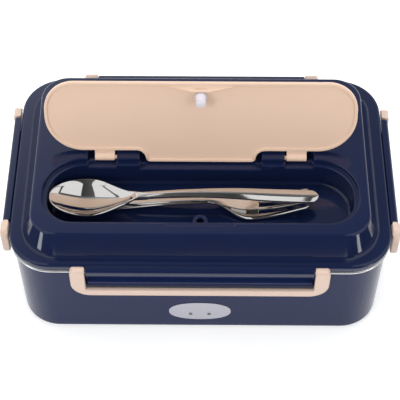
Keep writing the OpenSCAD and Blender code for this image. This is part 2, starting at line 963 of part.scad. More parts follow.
module dome_section() {
    a = atan(dome_lean / dome_h);
    foot_c = brim_top + brim_fillet;
    foot_u = -(foot_c - brim_fillet * sin(a) - brim_top) * tan(a) + brim_fillet * cos(a);
    head_c = deck_top - dome_round;
    head_u = -(head_c + dome_round * sin(a) - brim_top) * tan(a) - dome_round * cos(a);
    inner_top = -(deck_low - brim_top) * tan(a) - lid_t / cos(a);
    inner_low = lid_t * tan(a) - lid_t / cos(a);
    polygon(concat(
        [[foot_u, brim_low]],
        arc(foot_u, foot_c, brim_fillet, 270, 180 + a, 5),
        arc(head_u, head_c, dome_round, a, 90, 5),
        [
            [head_u - 2, deck_top],
            [head_u - 2, deck_low],
            [inner_top, deck_low],
            [inner_low, brim_low]
        ]
    ));
}

// Flange between the arms of a latch; its ends hold the latch pins
module flange_section(s) {
    out = s[1] - (s[1] == face_x ? lid_w : lid_d) / 2;
    low = skirt_low - 0.8;
    top = brim_top - 0.3;
    polygon(concat(
        [[-out - 1.5, top]],
        arc(-2, top - 2, 2, 90, 0, 5),
        arc(-1.2, low + 1.2, 1.2, 0, -90, 4),
        [[-3.2, low], [-3.2, skirt_low + 0.2], [-out - 1.5, skirt_low + 0.2]]
    ));
}

// Box from front to back behind the compartment, between two heights
module back_block(x0, x1, y1, z0, z1) {
    y0 = tub_y + tub_d / 2 - ledge_w - 2;
    translate([x0, y0, z0])
        cube([x1 - x0, y1 - y0, z1 - z0]);
}

module lid_body() {
    deck_in = dome_lean + 2.6;
    pocket_x = tongue_x + pocket_gap;
    block_in = tab_x - notch_in - trunnion_len - 2.2;
    notch_x = tab_x + tab_w + notch_out;
    tub_front = tub_y - tub_d / 2;
    frame_sweep(lid_w, lid_d, lid_r)
        brim_section();
    frame_sweep(dome_w, dome_d, dome_r)
        dome_section();
    translate([0, 0, deck_low])
        linear_extrude(lid_t)
            rounded(dome_w - 2 * deck_in, dome_d - 2 * deck_in, dome_r - deck_in);
    translate([0, 0, ledge_z - tub_t])
        linear_extrude(deck_low + eps - ledge_z + tub_t)
            tub_plan(-tub_t);
    translate([0, 0, tub_floor - tub_t])
        linear_extrude(ledge_z - tub_floor + tub_t)
            tub_plan(ledge_w - tub_t);
    back_block(-pocket_x - tub_t, pocket_x + tub_t, notch_back + tub_t,
        pocket_low - tub_t, deck_low + eps);
    for (m = [0, 1])
        mirror([m, 0, 0])
            back_block(block_in, notch_x + tub_t, notch_back + tub_t,
                hinge_z - 3.2 - tub_t, deck_low + eps);
    translate([-25, tub_front - 2 - tub_t, ledge_z - tub_t])
        cube([50, 6, deck_low + eps - ledge_z + tub_t]);
    for (s = SIDES)
        at_side(s)
            side_bar(s[2])
                flange_section(s);
}

module lid_cuts() {
    pocket_x = tongue_x + pocket_gap;
    notch_a = tab_x - notch_in;
    notch_b = tab_x + tab_w + notch_out;
    tub_front = tub_y - tub_d / 2;
    over = deck_top + 1;
    translate([0, 0, ledge_z])
        linear_extrude(ledge_h + 1)
            tub_plan();
    translate([0, 0, tub_floor])
        linear_extrude(tub_h + 1)
            tub_plan(ledge_w);
    back_block(-pocket_x, pocket_x, notch_back, pocket_low, over);
    for (m = [0, 1])
        mirror([m, 0, 0]) {
            back_block(notch_a, notch_b, notch_back, hinge_z - 3.2, over);
            translate([0, hinge_y, hinge_z])
                x_rod(notch_a - trunnion_len - 0.4, notch_a + 1, trunnion_r + trunnion_play);
        }
    translate([-23, tub_front - 2, ledge_z])
        cube([46, 5, ledge_h + 1]);
    for (s = SIDES)
        at_side(s)
            translate([0, pivot_in, pivot_z])
                for (m = [0, 1])
                    mirror([m, 0, 0]) {
                        x_rod(s[2] - latch_pin_in - 0.2, s[2] + 1, latch_pin_r + 0.02);
                        x_rod(s[2], s[2] + arm_gap + arm_w + 0.6, knuckle_r + 0.9);
                    }
}

module lid_shell() {
    chimney_low = brim_low - plug_drop + lid_liner_t;
    color(navy)
        difference() {
            union() {
                difference() {
                    lid_body();
                    lid_cuts();
                }
                translate([0, vent_y, tub_floor - eps])
                    cylinder(h = vent_h + eps, r = vent_r, $fn = small_fn);
                translate([0, vent_y, chimney_low])
                    cylinder(h = tub_floor - chimney_low, r = vent_r - 1, $fn = small_fn);
                translate([-2, tub_y - tub_d / 2 + ledge_w - 0.5, tub_floor - eps])
                    cube([4, vent_y - tub_y + tub_d / 2 - ledge_w - vent_r + 1.5, vent_h - 0.6]);
            }
            translate([0, vent_y, chimney_low - 1])
                cylinder(h = 40, r = vent_hole_r, $fn = small_fn);
        }
}

roof_t = 0.9;
plug_gap = 1.6;

module lid_liner_section() {
    lip_low = skirt_low + 0.3;
    outer = lid_t + 0.4;
    inner_lip = seal_in + seal_w + 0.1;
    translate([-inner_lip - 3.6, brim_low - roof_t])
        square([inner_lip + 3.6 - outer, roof_t]);
    translate([-seal_in + 0.1, lip_low])
        square([seal_in - 0.1 - outer, brim_low - lip_low]);
    translate([-inner_lip - lid_liner_t, lip_low])
        square([lid_liner_t, brim_low - lip_low]);
}

module lid_liner() {
    in = rim_w + plug_gap;
    w = steel_w - 2 * in;
    d = steel_d - 2 * in;
    low = brim_low - plug_drop;
    color(liner_grey)
        difference() {
            union() {
                frame_sweep(lid_w, lid_d, lid_r)
                    lid_liner_section();
                frame_sweep(w, d, steel_r - in)
                    translate([-lid_liner_t, low])
                        square([lid_liner_t, plug_drop]);
                translate([0, 0, low])
                    linear_extrude(lid_liner_t)
                        rounded(w - 1, d - 1, steel_r - in - 0.5);
            }
            translate([0, vent_y, low - 1])
                cylinder(h = lid_liner_t + 2, r = vent_hole_r, $fn = small_fn);
        }
}

module lid_seal() {
    color(silicone)
        frame_sweep(lid_w, lid_d, lid_r)
            translate([-seal_in - seal_w, flange_top + 0.1])
                square([seal_w, brim_low - roof_t - flange_top - 0.1]);
}

module latch_pins() {
    color(steel)
        for (s = SIDES)
            at_side(s)
                translate([0, pivot_in, pivot_z])
                    for (m = [0, 1])
                        mirror([m, 0, 0])
                            x_rod(s[2] - latch_pin_in, s[2] + arm_gap + latch_pin_in,
                                latch_pin_r);
}

// Front view of a latch: two arms joined by a bar with rounded lower corners
module latch_plan(s) {
    inner = s[2] + arm_gap;
    half = inner + arm_w;
    difference() {
        union() {
            translate([-half, latch_low + latch_corner])
                square([2 * half, latch_len - latch_corner]);
            translate([-half + latch_corner, latch_low])
                square([2 * (half - latch_corner), latch_corner + 1]);
            for (m = [-1, 1])
                translate([m * (half - latch_corner), latch_low + latch_corner])
                    circle(latch_corner, $fn = small_fn);
        }
        translate([-inner, bar_top])
            square([2 * inner, latch_len]);
    }
}

module latch(s) {
    inner = s[2] + arm_gap;
    color(peach)
        at_side(s)
            difference() {
                union() {
                    facing(pivot_in + 0.2 - latch_t, latch_t)
                        latch_plan(s);
                    for (m = [0, 1])
                        mirror([m, 0, 0])
                            translate([0, pivot_in, pivot_z])
                                x_rod(inner, inner + arm_w, knuckle_r);
                }
                for (m = [0, 1])
                    mirror([m, 0, 0])
                        translate([0, pivot_in, pivot_z])
                            x_rod(inner - 1, inner + latch_pin_in + 0.3,
                                latch_pin_r + latch_pin_play);
            }
}

module latch_front() {
    latch(SIDES[0]);
}

module latch_back() {
    latch(SIDES[1]);
}

module latch_left() {
    latch(SIDES[2]);
}

module latch_right() {
    latch(SIDES[3]);
}

// Turns the closed cover to where it stands open
module opened() {
    translate([0, hinge_y, hinge_z])
        rotate([-open_angle, 0, 0])
            translate([0, -hinge_y, -hinge_z])
                children();
}

module tongue_plan() {
    edge = tub_y + tub_d / 2 - cover_gap;
    back = edge - back_gap;
    fillet = 4;
    translate([-tongue_x, back - 4])
        square([2 * tongue_x, 1 + tongue_len + back_gap]);
    translate([-tongue_x + 3, back + 1])
        square([2 * tongue_x - 6, tongue_len + back_gap - 1]);
    for (m = [0, 1])
        mirror([m, 0]) {
            translate([tongue_x - 3, edge + tongue_len - 3])
                circle(3, $fn = small_fn);
            polygon(concat(
                [[tongue_x + fillet, back - 2]],
                arc(tongue_x + fillet, back + fillet, fillet, 270, 180),
                [[tongue_x - 2, back + fillet], [tongue_x - 2, back - 2]]
            ));
        }
}

module cover_tab() {
    back = hinge_y - hinge_back;
    translate([tab_x, back - 3, panel_low - 0.4])
        cube([tab_w, hinge_back + 3.4, panel_t + 0.4]);
    translate([0, hinge_y, hinge_z]) {
        x_rod(tab_x, tab_x + tab_w, hinge_deep - 0.4);
        x_rod(tab_x - notch_in - trunnion_len, tab_x + 1, trunnion_r);
    }
}

module compartment_cover() {
    ridge_low = panel_low - ridge_h;
    edge_low = ledge_z + 0.2;
    half = ridge_w / 2;
    apex = vent_y - plug_r - half - 0.2;
    root = tub_y - tub_d / 2 + cover_gap + ridge_in + half;
    color(peach)
        opened()
            difference() {
                union() {
                    translate([0, 0, panel_low])
                        linear_extrude(panel_t) {
                            tub_plan(cover_gap, back_gap);
                            tongue_plan();
                        }
                    translate([0, 0, edge_low])
                        linear_extrude(deck_top - edge_low)
                            difference() {
                                tub_plan(cover_gap, back_gap);
                                tub_plan(ledge_w - 0.4, back_gap);
                            }
                    translate([0, 0, ridge_low])
                        linear_extrude(ridge_h + eps) {
                            difference() {
                                tub_plan(cover_gap + ridge_in, back_gap);
                                tub_plan(cover_gap + ridge_in + ridge_w, back_gap);
                            }
                            for (m = [0, 1])
                                mirror([m, 0])
                                    polygon([
                                        [dip_x, root - half],
                                        [dip_x, root + half],
                                        [plug_r, apex + half],
                                        [plug_r, apex - half]
                                    ]);
                        }
                    translate([-plug_r - 0.6, apex - half, panel_low - apex_h])
                        cube([2 * plug_r + 1.2, ridge_w, apex_h + eps]);
                    for (m = [0, 1])
                        mirror([m, 0, 0])
                            cover_tab();
                }
                translate([-2.2, root + 1.2, panel_low - eps])
                    cube([4.4, 1.2, 0.8]);
            }
}

module vent_plug() {
    seat = tub_floor + vent_h;
    shoulder = panel_low - seat - 0.5;
    color(silicone)
        opened()
            translate([0, vent_y, panel_low])
                rotate_extrude($fn = small_fn)
                    polygon([
                        [0, 0],
                        [plug_r, 0],
                        [plug_r, -1.2],
                        [plug_r - 0.4, -1.8],
                        [vent_hole_r + 0.8, -shoulder],
                        [vent_hole_r - 0.25, -shoulder],
                        [vent_hole_r - 0.9, -plug_len],
                        [0, -plug_len]
                    ]);
}

// Sheet-metal blade whose stations give place, half width, height and dish
module blade(stations, thick) {
    n = len(stations) - 1;
    m = 10;
    row = m + 1;
    low = (n + 1) * row;
    points = [
        for (side = [0, 1], s = stations, j = [0:m])
            let (v = 2 * j / m - 1)
            [s[0], s[1] * v, s[2] - s[3] * (1 - v * v) - side * thick]
    ];
    top_faces = [
        for (i = [0:n - 1], j = [0:m - 1])
            let (a = i * row + j)
            each [[a, a + 1, a + row + 1], [a, a + row + 1, a + row]]
    ];
    low_faces = [for (f = top_faces) [f[2] + low, f[1] + low, f[0] + low]];
    edge_faces = [
        for (i = [0:n - 1])
            let (a = i * row, b = i * row + m)
            each [
                [a, a + row, a + row + low], [a, a + row + low, a + low],
                [b + row, b, b + low], [b + row, b + low, b + row + low]
            ]
    ];
    end_faces = [
        for (j = [0:m - 1])
            let (a = j, b = n * row + j)
            each [
                [a + 1, a, a + low], [a + 1, a + low, a + 1 + low],
                [b, b + 1, b + 1 + low], [b, b + 1 + low, b + low]
            ]
    ];
    polyhedron(points, concat(top_faces, low_faces, edge_faces, end_faces), convexity = 6);
}

fork_z = tub_floor + 0.2 + cutlery_t;
spoon_z = fork_z + 0.5 + cutlery_t + bowl_deep + 1.6;

function spoon_half(x) =
    let (mid = 0.47 * bowl_len, neck = 2.6, tip = spoon_len - x)
    x < mid
        ? max(0.8, bowl_half * sqrt(1 - pow((x - mid) / mid, 2)))
        : x < bowl_len + 6
            ? neck + (bowl_half - neck) * (1 - rise(x, mid, bowl_len + 6))
            : (neck + 2.8 * rise(x, bowl_len + 6, spoon_len - 20))
                * (tip < 6 ? max(0.2, sqrt(1 - pow((6 - tip) / 6, 2))) : 1);

function spoon_height(x) =
    spoon_z + 1.6 * (1 - rise(x, 0, 0.5 * bowl_len))
        + 3.4 * rise(x, 0.7 * bowl_len, 1.6 * bowl_len)
        - 4.6 * rise(x, 1.8 * bowl_len, spoon_len);

function spoon_dish(x) =
    x < bowl_len ? bowl_deep * pow(max(0, 1 - pow(2 * x / bowl_len - 1, 2)), 0.8) : 0;

module spoon() {
    mid = 0.47 * bowl_len;
    stations = [
        for (x = concat(
            [for (i = [0:9]) mid * (1 - cos(i * 10))],
            [for (i = [1:12]) mid + (bowl_len + 6 - mid) * i / 12],
            [for (i = [1:12]) bowl_len + 6 + (spoon_len - 12 - bowl_len) * i / 12],
            [for (i = [1:5]) spoon_len - 6 + 6 * sin(i * 18)]
        ))
            [x, spoon_half(x), spoon_height(x), spoon_dish(x)]
    ];
    color(steel)
        translate([-spoon_start, tub_y + 1, 0])
            rotate(1)
                blade(stations, cutlery_t);
}

function fork_half_at(x) =
    let (neck = 2.7, shoulder = fork_len - tine_len - 6, end = 6)
    x < end
        ? (neck + 2) * max(0.3, sqrt(1 - pow((end - x) / end, 2)))
        : x < shoulder - 22
            ? neck + 2 * (1 - rise(x, 10, shoulder - 22))
            : neck + (fork_half - neck) * rise(x, shoulder - 22, shoulder)
                - 3.8 * rise(x, shoulder, fork_len);

function fork_height(x) =
    let (belly = fork_len - tine_len)
    fork_z + 5.6 * rise(x, 20, belly - 38) - 5.6 * rise(x, belly - 34, belly)
        + 8 * pow(max(0, (x - belly) / tine_len), 1.6);

module fork() {
    stations = [
        for (x = concat(
            [for (i = [0:4]) 6 * (1 - cos(i * 22.5))],
            [for (i = [1:30]) 6 + (fork_len - 6) * i / 30]
        ))
            [x, fork_half_at(x), fork_height(x),
                fork_dish * rise(x, fork_len - tine_len - 20, fork_len - tine_len)]
    ];
    color(steel)
        translate([-fork_start, tub_y + 1.2, 0])
            rotate(0.6)
                difference() {
                    blade(stations, cutlery_t);
                    for (k = [-1, 0, 1])
                        translate([fork_len, 0, 0])
                            linear_extrude(deck_top)
                                polygon([
                                    [1, k * 4.4 - tine_gap / 2],
                                    [1, k * 4.4 + tine_gap / 2],
                                    [2 - tine_len, k * 6 + tine_gap / 2],
                                    [-tine_len, k * 6],
                                    [2 - tine_len, k * 6 - tine_gap / 2]
                                ]);
                }
}

outer_shell();
base_cover();
feet();
base_screws();
inner_liner();
heat_plate();
heating_block();
insulation_pad();
heater_clamp();
clamp_screws();
thermostat();
thermal_fuse();
inner_wires();
power_inlet();
inlet_pins();
indicator_plate();
indicator_lenses();
indicator_board();
indicator_leds();
steel_tray();
lid_shell();
lid_liner();
lid_seal();
latch_pins();
latch_front();
latch_back();
latch_left();
latch_right();
compartment_cover();
vent_plug();
spoon();
fork();
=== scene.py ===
import bmesh
import bpy
import numpy as np
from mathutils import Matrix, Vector


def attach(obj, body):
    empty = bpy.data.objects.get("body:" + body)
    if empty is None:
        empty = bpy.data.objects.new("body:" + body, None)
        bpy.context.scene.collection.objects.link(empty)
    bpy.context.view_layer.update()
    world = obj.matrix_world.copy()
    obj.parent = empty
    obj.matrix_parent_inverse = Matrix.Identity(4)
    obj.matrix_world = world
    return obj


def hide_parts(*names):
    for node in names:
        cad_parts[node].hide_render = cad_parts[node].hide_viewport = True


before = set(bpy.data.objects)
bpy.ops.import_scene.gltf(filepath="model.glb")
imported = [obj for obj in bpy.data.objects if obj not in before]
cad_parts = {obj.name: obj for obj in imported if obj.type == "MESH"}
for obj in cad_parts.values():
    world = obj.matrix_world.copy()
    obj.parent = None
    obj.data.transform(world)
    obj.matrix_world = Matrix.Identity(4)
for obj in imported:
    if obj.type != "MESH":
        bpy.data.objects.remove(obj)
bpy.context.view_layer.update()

# Camera: stands in front of the box and looks down on the lid at the photograph's angle. The
# picture is square, and the lens length, found in its pixels, is turned into millimetres of
# the sensor.
PICTURE, LENS_PIXELS, SENSOR = 400, 1272.1, 36
VIEW_RISE, VIEW_TURN = np.radians(53.5), np.radians(-0.42)
VIEW_DISTANCE = 0.89986
VIEW_TARGET = np.array([-0.00048, -0.00602, 0.0517])


def added(name, data):
    """Puts a new object with this data into the scene."""
    thing = bpy.data.objects.new(name, data)
    bpy.context.scene.collection.objects.link(thing)
    return thing


view_back = np.array([-np.sin(VIEW_TURN) * np.cos(VIEW_RISE),
                      -np.cos(VIEW_TURN) * np.cos(VIEW_RISE), np.sin(VIEW_RISE)])
camera = added("camera", bpy.data.cameras.new("camera"))
camera.data.sensor_width = SENSOR
camera.data.lens = LENS_PIXELS / PICTURE * SENSOR
camera.data.clip_start = 0.01
camera.location = Vector(VIEW_TARGET + view_back * VIEW_DISTANCE)
camera.rotation_mode = "QUATERNION"
camera.rotation_quaternion = Vector(-view_back).to_track_quat("-Z", "Y")
bpy.context.scene.camera = camera
bpy.context.scene.view_settings.view_transform = "Standard"


# Surroundings: white to the camera and to mirror images, as behind the box in the
# photograph, and a little dimmer and cooler as a light.
def shader_of(owner):
    """Clears the owner's shader and returns its nodes and links."""
    owner.use_nodes = True
    tree = owner.node_tree
    tree.nodes.clear()
    return tree.nodes, tree.links


def node(nodes, kind, **sockets):
    """A new shader node whose input sockets are set by name, with _ for a space."""
    made = nodes.new("ShaderNode" + kind)
    for name, value in sockets.items():
        made.inputs[name.replace("_", " ")].default_value = value
    return made


def maths(nodes, links, operation, first, second):
    """A Math node of two terms, each a number or another node's output."""
    made = node(nodes, "Math")
    made.operation = operation
    for socket, term in zip(made.inputs, (first, second)):
        if isinstance(term, bpy.types.NodeSocket):
            links.new(term, socket)
        else:
            socket.default_value = term
    return made


def seen_directly(nodes, links):
    """Is Camera Ray + Is Glossy Ray + Is Transmission Ray, held at one."""
    ray = node(nodes, "LightPath").outputs
    seen = maths(nodes, links, "ADD", ray["Is Camera Ray"], ray["Is Glossy Ray"])
    seen = maths(nodes, links, "ADD", seen.outputs[0], ray["Is Transmission Ray"])
    seen.use_clamp = True
    return seen.outputs[0]


world = bpy.data.worlds.new("surroundings")
bpy.context.scene.world = world
nodes, links = shader_of(world)
white = node(nodes, "Background", Color=(1, 1, 1, 1), Strength=1.0)
dimmer = node(nodes, "Background", Color=(0.97, 0.98, 1, 1), Strength=0.68)
either = node(nodes, "MixShader")
links.new(seen_directly(nodes, links), either.inputs[0])
links.new(dimmer.outputs[0], either.inputs[1])
links.new(white.outputs[0], either.inputs[2])
links.new(either.outputs[0], node(nodes, "OutputWorld").inputs[0])

# Table: a matt white sheet that the box stands on. A glow that only the camera and mirror
# images see lifts it to white and leaves it the object's shadow.
TABLE_HALF, TABLE_GLOW = 4.0, 0.42


def sheet(name, corners, material):
    """A flat sheet of the studio through four corners."""
    mesh = bpy.data.meshes.new(name)
    mesh.from_pydata(np.array(corners, float).tolist(), [], [(0, 1, 2, 3)])
    mesh.materials.append(material)
    thing = added(name, mesh)
    return thing


table_white = bpy.data.materials.new("table white")
nodes, links = shader_of(table_white)
matt = node(nodes, "BsdfDiffuse", Color=(0.9, 0.9, 0.9, 1))
glow = node(nodes, "Emission")
lift = maths(nodes, links, "MULTIPLY", seen_directly(nodes, links), TABLE_GLOW)
links.new(lift.outputs[0], glow.inputs["Strength"])
both = node(nodes, "AddShader")
links.new(matt.outputs[0], both.inputs[0])
links.new(glow.outputs[0], both.inputs[1])
links.new(both.outputs[0], node(nodes, "OutputMaterial").inputs[0])
sheet("table", [(x * TABLE_HALF, y * TABLE_HALF, 0)
                for x, y in ((-1, -1), (1, -1), (1, 1), (-1, 1))], table_white)

# Lamps: a large soft one over the box from behind and two smaller ones in front, all aimed at
# the lid. They are left out of mirror images, where they would bleach the dark plastic.
LAMP_TARGET = Vector((0, 0, 0.07))
for name, place, size, watts in (
        ("overhead", (0, 0.7, 1.5), (1.4, 0.9), 13),
        ("front left", (-1.1, -1.3, 1.2), (0.45, 0.8), 10.6),
        ("front right", (1.2, -1.2, 1.1), (0.45, 0.8), 6.3)):
    light = bpy.data.lights.new(name, "AREA")
    light.shape = "RECTANGLE"
    light.size, light.size_y = size
    light.energy = watts
    lamp = added(name, light)
    lamp.location = place
    lamp.visible_glossy = False
    lamp.rotation_euler = (LAMP_TARGET - Vector(place)).to_track_quat("-Z", "Y").to_euler()

# Black cloth: hangs in front and overhead and lies on the table, where only mirror images meet
# it. Overhead it fades to white towards the back, and it is lighter on the left. It gives the
# plastic its depth and the cutlery its dark streaks.
CLOTH_SIDE, CLOTH_FRONT, CLOTH_BACK, CLOTH_TOP = 2, -3, 2.6, 2.2
CLOTH_NEAR, CLOTH_LOW, CLOTH_INNER = -0.5, 0.003, 0.21


def mirrored_only(thing):
    """Keeps a sheet to mirror images: it is unseen and casts no shadow."""
    for ray in ("camera", "diffuse", "transmission", "volume_scatter", "shadow"):
        setattr(thing, "visible_" + ray, False)


cloth = bpy.data.materials.new("black cloth")
nodes, links = shader_of(cloth)
apart = node(nodes, "SeparateXYZ")
links.new(node(nodes, "TexCoord").outputs["Object"], apart.inputs[0])
fade = node(nodes, "MapRange", From_Min=0.9, From_Max=CLOTH_BACK, To_Min=0.07)
fade.interpolation_type = "SMOOTHSTEP"
links.new(apart.outputs["Y"], fade.inputs["Value"])
across = node(nodes, "MapRange", From_Min=-0.6, From_Max=0.6, To_Min=1.9, To_Max=0.5)
links.new(apart.outputs["X"], across.inputs["Value"])
shine = node(nodes, "Emission")
strength = maths(nodes, links, "MULTIPLY", fade.outputs["Result"], across.outputs["Result"])
links.new(strength.outputs[0], shine.inputs["Strength"])
links.new(shine.outputs[0], node(nodes, "OutputMaterial").inputs[0])
for name, low, high, z in (("cloth on floor", CLOTH_FRONT, CLOTH_NEAR, CLOTH_LOW),
                           ("cloth overhead", CLOTH_FRONT, CLOTH_BACK, CLOTH_TOP)):
    mirrored_only(sheet(name, [(-CLOTH_SIDE, low, z), (CLOTH_SIDE, low, z),
                               (CLOTH_SIDE, high, z), (-CLOTH_SIDE, high, z)], cloth))
mirrored_only(sheet("cloth in front", [
    (-CLOTH_SIDE, CLOTH_FRONT, 0), (-CLOTH_SIDE, CLOTH_FRONT, CLOTH_TOP),
    (CLOTH_SIDE, CLOTH_FRONT, CLOTH_TOP), (CLOTH_SIDE, CLOTH_FRONT, 0)], cloth))
for name, side in (("left", -1), ("right", 1)):
    mirrored_only(sheet("cloth at " + name, [
        (side * x, y, CLOTH_LOW) for x, y in
        ((CLOTH_SIDE, CLOTH_NEAR), (CLOTH_INNER, CLOTH_NEAR), (CLOTH_INNER, -0.05),
         (CLOTH_SIDE, 0.1))], cloth))

# Two soft boxes overhead, which the spoon's bowl mirrors, and a bright strip that lies on the
# cloth at each side and draws the upright light line on the lid's front corner. A strip is
# its side and the middles (out, y) of its near and far end.
BOX_NEAR, BOX_FAR, BOX_FRONT, BOX_BACK, BOX_TOP = 0.4, 1.6, -1.5, 1.05, 2.1
STRIP_Z = 0.004
STRIPS = {"left": (-1, (0.215, -0.165), (0.50, -0.34)),
          "right": (1, (0.24, -0.195), (0.55, -0.41))}


def glowing(name, strength):
    """A material that only shines, at a strength where 1 is white."""
    material = bpy.data.materials.new(name)
    nodes, links = shader_of(material)
    shine = node(nodes, "Emission", Strength=strength)
    links.new(shine.outputs[0], node(nodes, "OutputMaterial").inputs[0])
    return material


soft, bright = glowing("soft box light", 1.0), glowing("strip light", 6)
for name, (side, (near, near_y), (far, far_y)) in STRIPS.items():
    mirrored_only(sheet("soft box " + name, [
        (side * x, y, BOX_TOP) for x, y in
        ((BOX_NEAR, BOX_FRONT), (BOX_NEAR, BOX_BACK), (BOX_FAR, BOX_BACK),
         (BOX_FAR, BOX_FRONT))], soft))
    mirrored_only(sheet("strip " + name, [
        (side * x, y, STRIP_Z) for x, y in
        ((near, near_y - 0.03), (far, far_y - 0.05), (far, far_y + 0.05),
         (near, near_y + 0.02))], bright))


# Outer shell: the navy body, injection moulded in satin polypropylene with a large rounded
# bottom edge and the four ribs that the latches snap under.
MM = 0.001


def surface(name, colour, rough, grain, coat=0.0, metal=0.0, level=0.5, grain_size=0.6,
            mottle=0.0, mottle_size=30.0, spread=0.03, stretch=(1, 1, 1)):
    """Principled finish on Object coordinates, its sizes in millimetres. A broad noise moves
    the roughness by +-spread and darkens the colour by up to `mottle`, and a fine noise
    raises a bump of height `grain`."""
    material = bpy.data.materials.new(name)
    nodes, links = shader_of(material)
    shade = node(nodes, "BsdfPrincipled", Base_Color=(*colour, 1), Metallic=metal,
                 Specular_IOR_Level=level, Coat_Weight=coat, Coat_Roughness=0.05)
    turn = node(nodes, "Mapping", Scale=stretch)
    links.new(node(nodes, "TexCoord").outputs["Object"], turn.inputs["Vector"])
    fine = node(nodes, "TexNoise", Scale=1 / (grain_size * MM), Detail=3)
    broad = node(nodes, "TexNoise", Scale=1 / (mottle_size * MM), Detail=2)
    for noise in (fine, broad):
        links.new(turn.outputs[0], noise.inputs["Vector"])
    gloss = node(nodes, "MapRange", To_Min=rough - spread, To_Max=rough + spread)
    links.new(broad.outputs["Fac"], gloss.inputs["Value"])
    links.new(gloss.outputs["Result"], shade.inputs["Roughness"])
    if mottle:
        tint = node(nodes, "Mix")
        tint.data_type = "RGBA"
        share, plain, dark, mixed = *(tint.inputs[k] for k in (0, 6, 7)), tint.outputs[2]
        plain.default_value = (*colour, 1)
        dark.default_value = (*(c * (1 - mottle) for c in colour), 1)
        links.new(broad.outputs["Fac"], share)
        links.new(mixed, shade.inputs["Base Color"])
    bump = node(nodes, "Bump", Strength=1, Distance=grain * MM)
    links.new(fine.outputs["Fac"], bump.inputs["Height"])
    links.new(bump.outputs[0], shade.inputs["Normal"])
    if coat:
        links.new(bump.outputs[0], shade.inputs["Coat Normal"])
    links.new(shade.outputs[0], node(nodes, "OutputMaterial").inputs[0])
    return material


def dress(material, *names):
    """Gives CAD nodes their finish."""
    for name in names:
        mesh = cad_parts[name].data
        mesh.materials.clear()
        mesh.materials.append(material)


navy_satin = surface("navy plastic, body", (0.0090, 0.0175, 0.0690), 0.12, grain=0.004,
                     level=0.17, grain_size=3, mottle=0.12, spread=0.02)
dress(navy_satin, "outer_shell")

# Bottom: a black moulded cover screwed up into the shell's lip with four cross-slot steel
# screws, with four rubber feet under it.
black = surface("black plastic", (0.012, 0.012, 0.013), 0.38, grain=0.02, grain_size=0.5)
rubber = surface("black rubber", (0.014, 0.014, 0.014), 0.62, grain=0.02, level=0.3,
                 grain_size=0.4)
plain_steel = surface("plain steel", (0.55, 0.55, 0.56), 0.3, grain=0.004, metal=1)
dress(black, "base_cover")
dress(rubber, "feet")
dress(plain_steel, "base_screws")

# Liner and heater: a grey inner wall that holds the tray, with an aluminium plate in its floor
# and the heating block under it, pressed up by a pad and a screwed steel strap. Thermostat and
# fuse are shown as white ceramic, and the wires have woven sleeves.
liner = surface("grey liner plastic", (0.075, 0.085, 0.12), 0.32, grain=0.006, grain_size=1)
aluminium = surface("heater aluminium", (0.72, 0.73, 0.74), 0.36, grain=0.008, metal=1,
                    grain_size=0.3, stretch=(0.1, 1, 1))
board = surface("insulation board", (0.52, 0.47, 0.38), 0.85, grain=0.05, level=0.2,
                grain_size=1.2, mottle=0.2, mottle_size=6)
ceramic = surface("white ceramic", (0.75, 0.74, 0.71), 0.5, grain=0.01)
sleeve = surface("wire sleeve", (0.62, 0.60, 0.56), 0.5, grain=0.02, grain_size=0.5)
dress(liner, "inner_liner")
dress(aluminium, "heat_plate", "heating_block")
dress(board, "insulation_pad")
dress(plain_steel, "heater_clamp", "clamp_screws")
dress(ceramic, "thermostat", "thermal_fuse")
dress(sleeve, "inner_wires")

# Mains inlet: a black moulded socket in the back wall with two brass pins, to which the wires
# inside are joined.
brass = surface("brass pins", (0.70, 0.52, 0.25), 0.28, grain=0.003, metal=1)
dress(black, "power_inlet")
dress(brass, "inlet_pins")

# Indicator: an oval steel plate, brushed across and glued to the front, with two clear rods
# that lead the light of two diodes on a small circuit board through the wall.
brushed = surface("brushed plate steel", (0.47, 0.47, 0.52), 0.34, grain=0.01, metal=1,
                  grain_size=0.25, stretch=(0.05, 1, 1))
lens = surface("lens plastic", (0.10, 0.10, 0.12), 0.12, grain=0.002, coat=0.5)
circuit = surface("circuit board", (0.02, 0.13, 0.05), 0.4, grain=0.01, mottle=0.2,
                  mottle_size=2)
led = surface("indicator light", (0.60, 0.05, 0.03), 0.2, grain=0.002)
dress(brushed, "indicator_plate")
dress(lens, "indicator_lenses")
dress(circuit, "indicator_board")
dress(led, "indicator_leds")

# Food tray: drawn from stainless sheet with a rolled rim, and lifted out of the base by hand.
# Its rim shows as a light line between lid and base.
tray_steel = surface("drawn tray steel", (0.70, 0.70, 0.71), 0.26, grain=0.003, metal=1,
                     grain_size=0.5, stretch=(1, 0.2, 1))
dress(tray_steel, "steel_tray")

# Lid shell: one navy moulding with a low brim, a sloped dome, a flat deck and the cutlery
# compartment sunk into it. It lies on the tray's rim and is clamped down by the latches.
navy = surface("navy plastic, lid", (0.0075, 0.0145, 0.0530), 0.07, grain=0.003, level=0.45,
               grain_size=3, mottle=0.12, spread=0.015)
dress(navy, "lid_shell")
LID_PATH, DOME_PATH = (255.5, 164.2, 29.0), (237.9, 150.2, 25.05)
SKIRT_LOW, BRIM_LOW, BRIM_TOP, DECK_LOW, DECK_TOP = 76.1, 78.6, 81.0, 95.1, 97.5
LID_WALL, BRIM_ROUND, FOOT_ROUND, HEAD_ROUND = 2.4, 2.0, 2.0, 1.8
WELD = 0.001


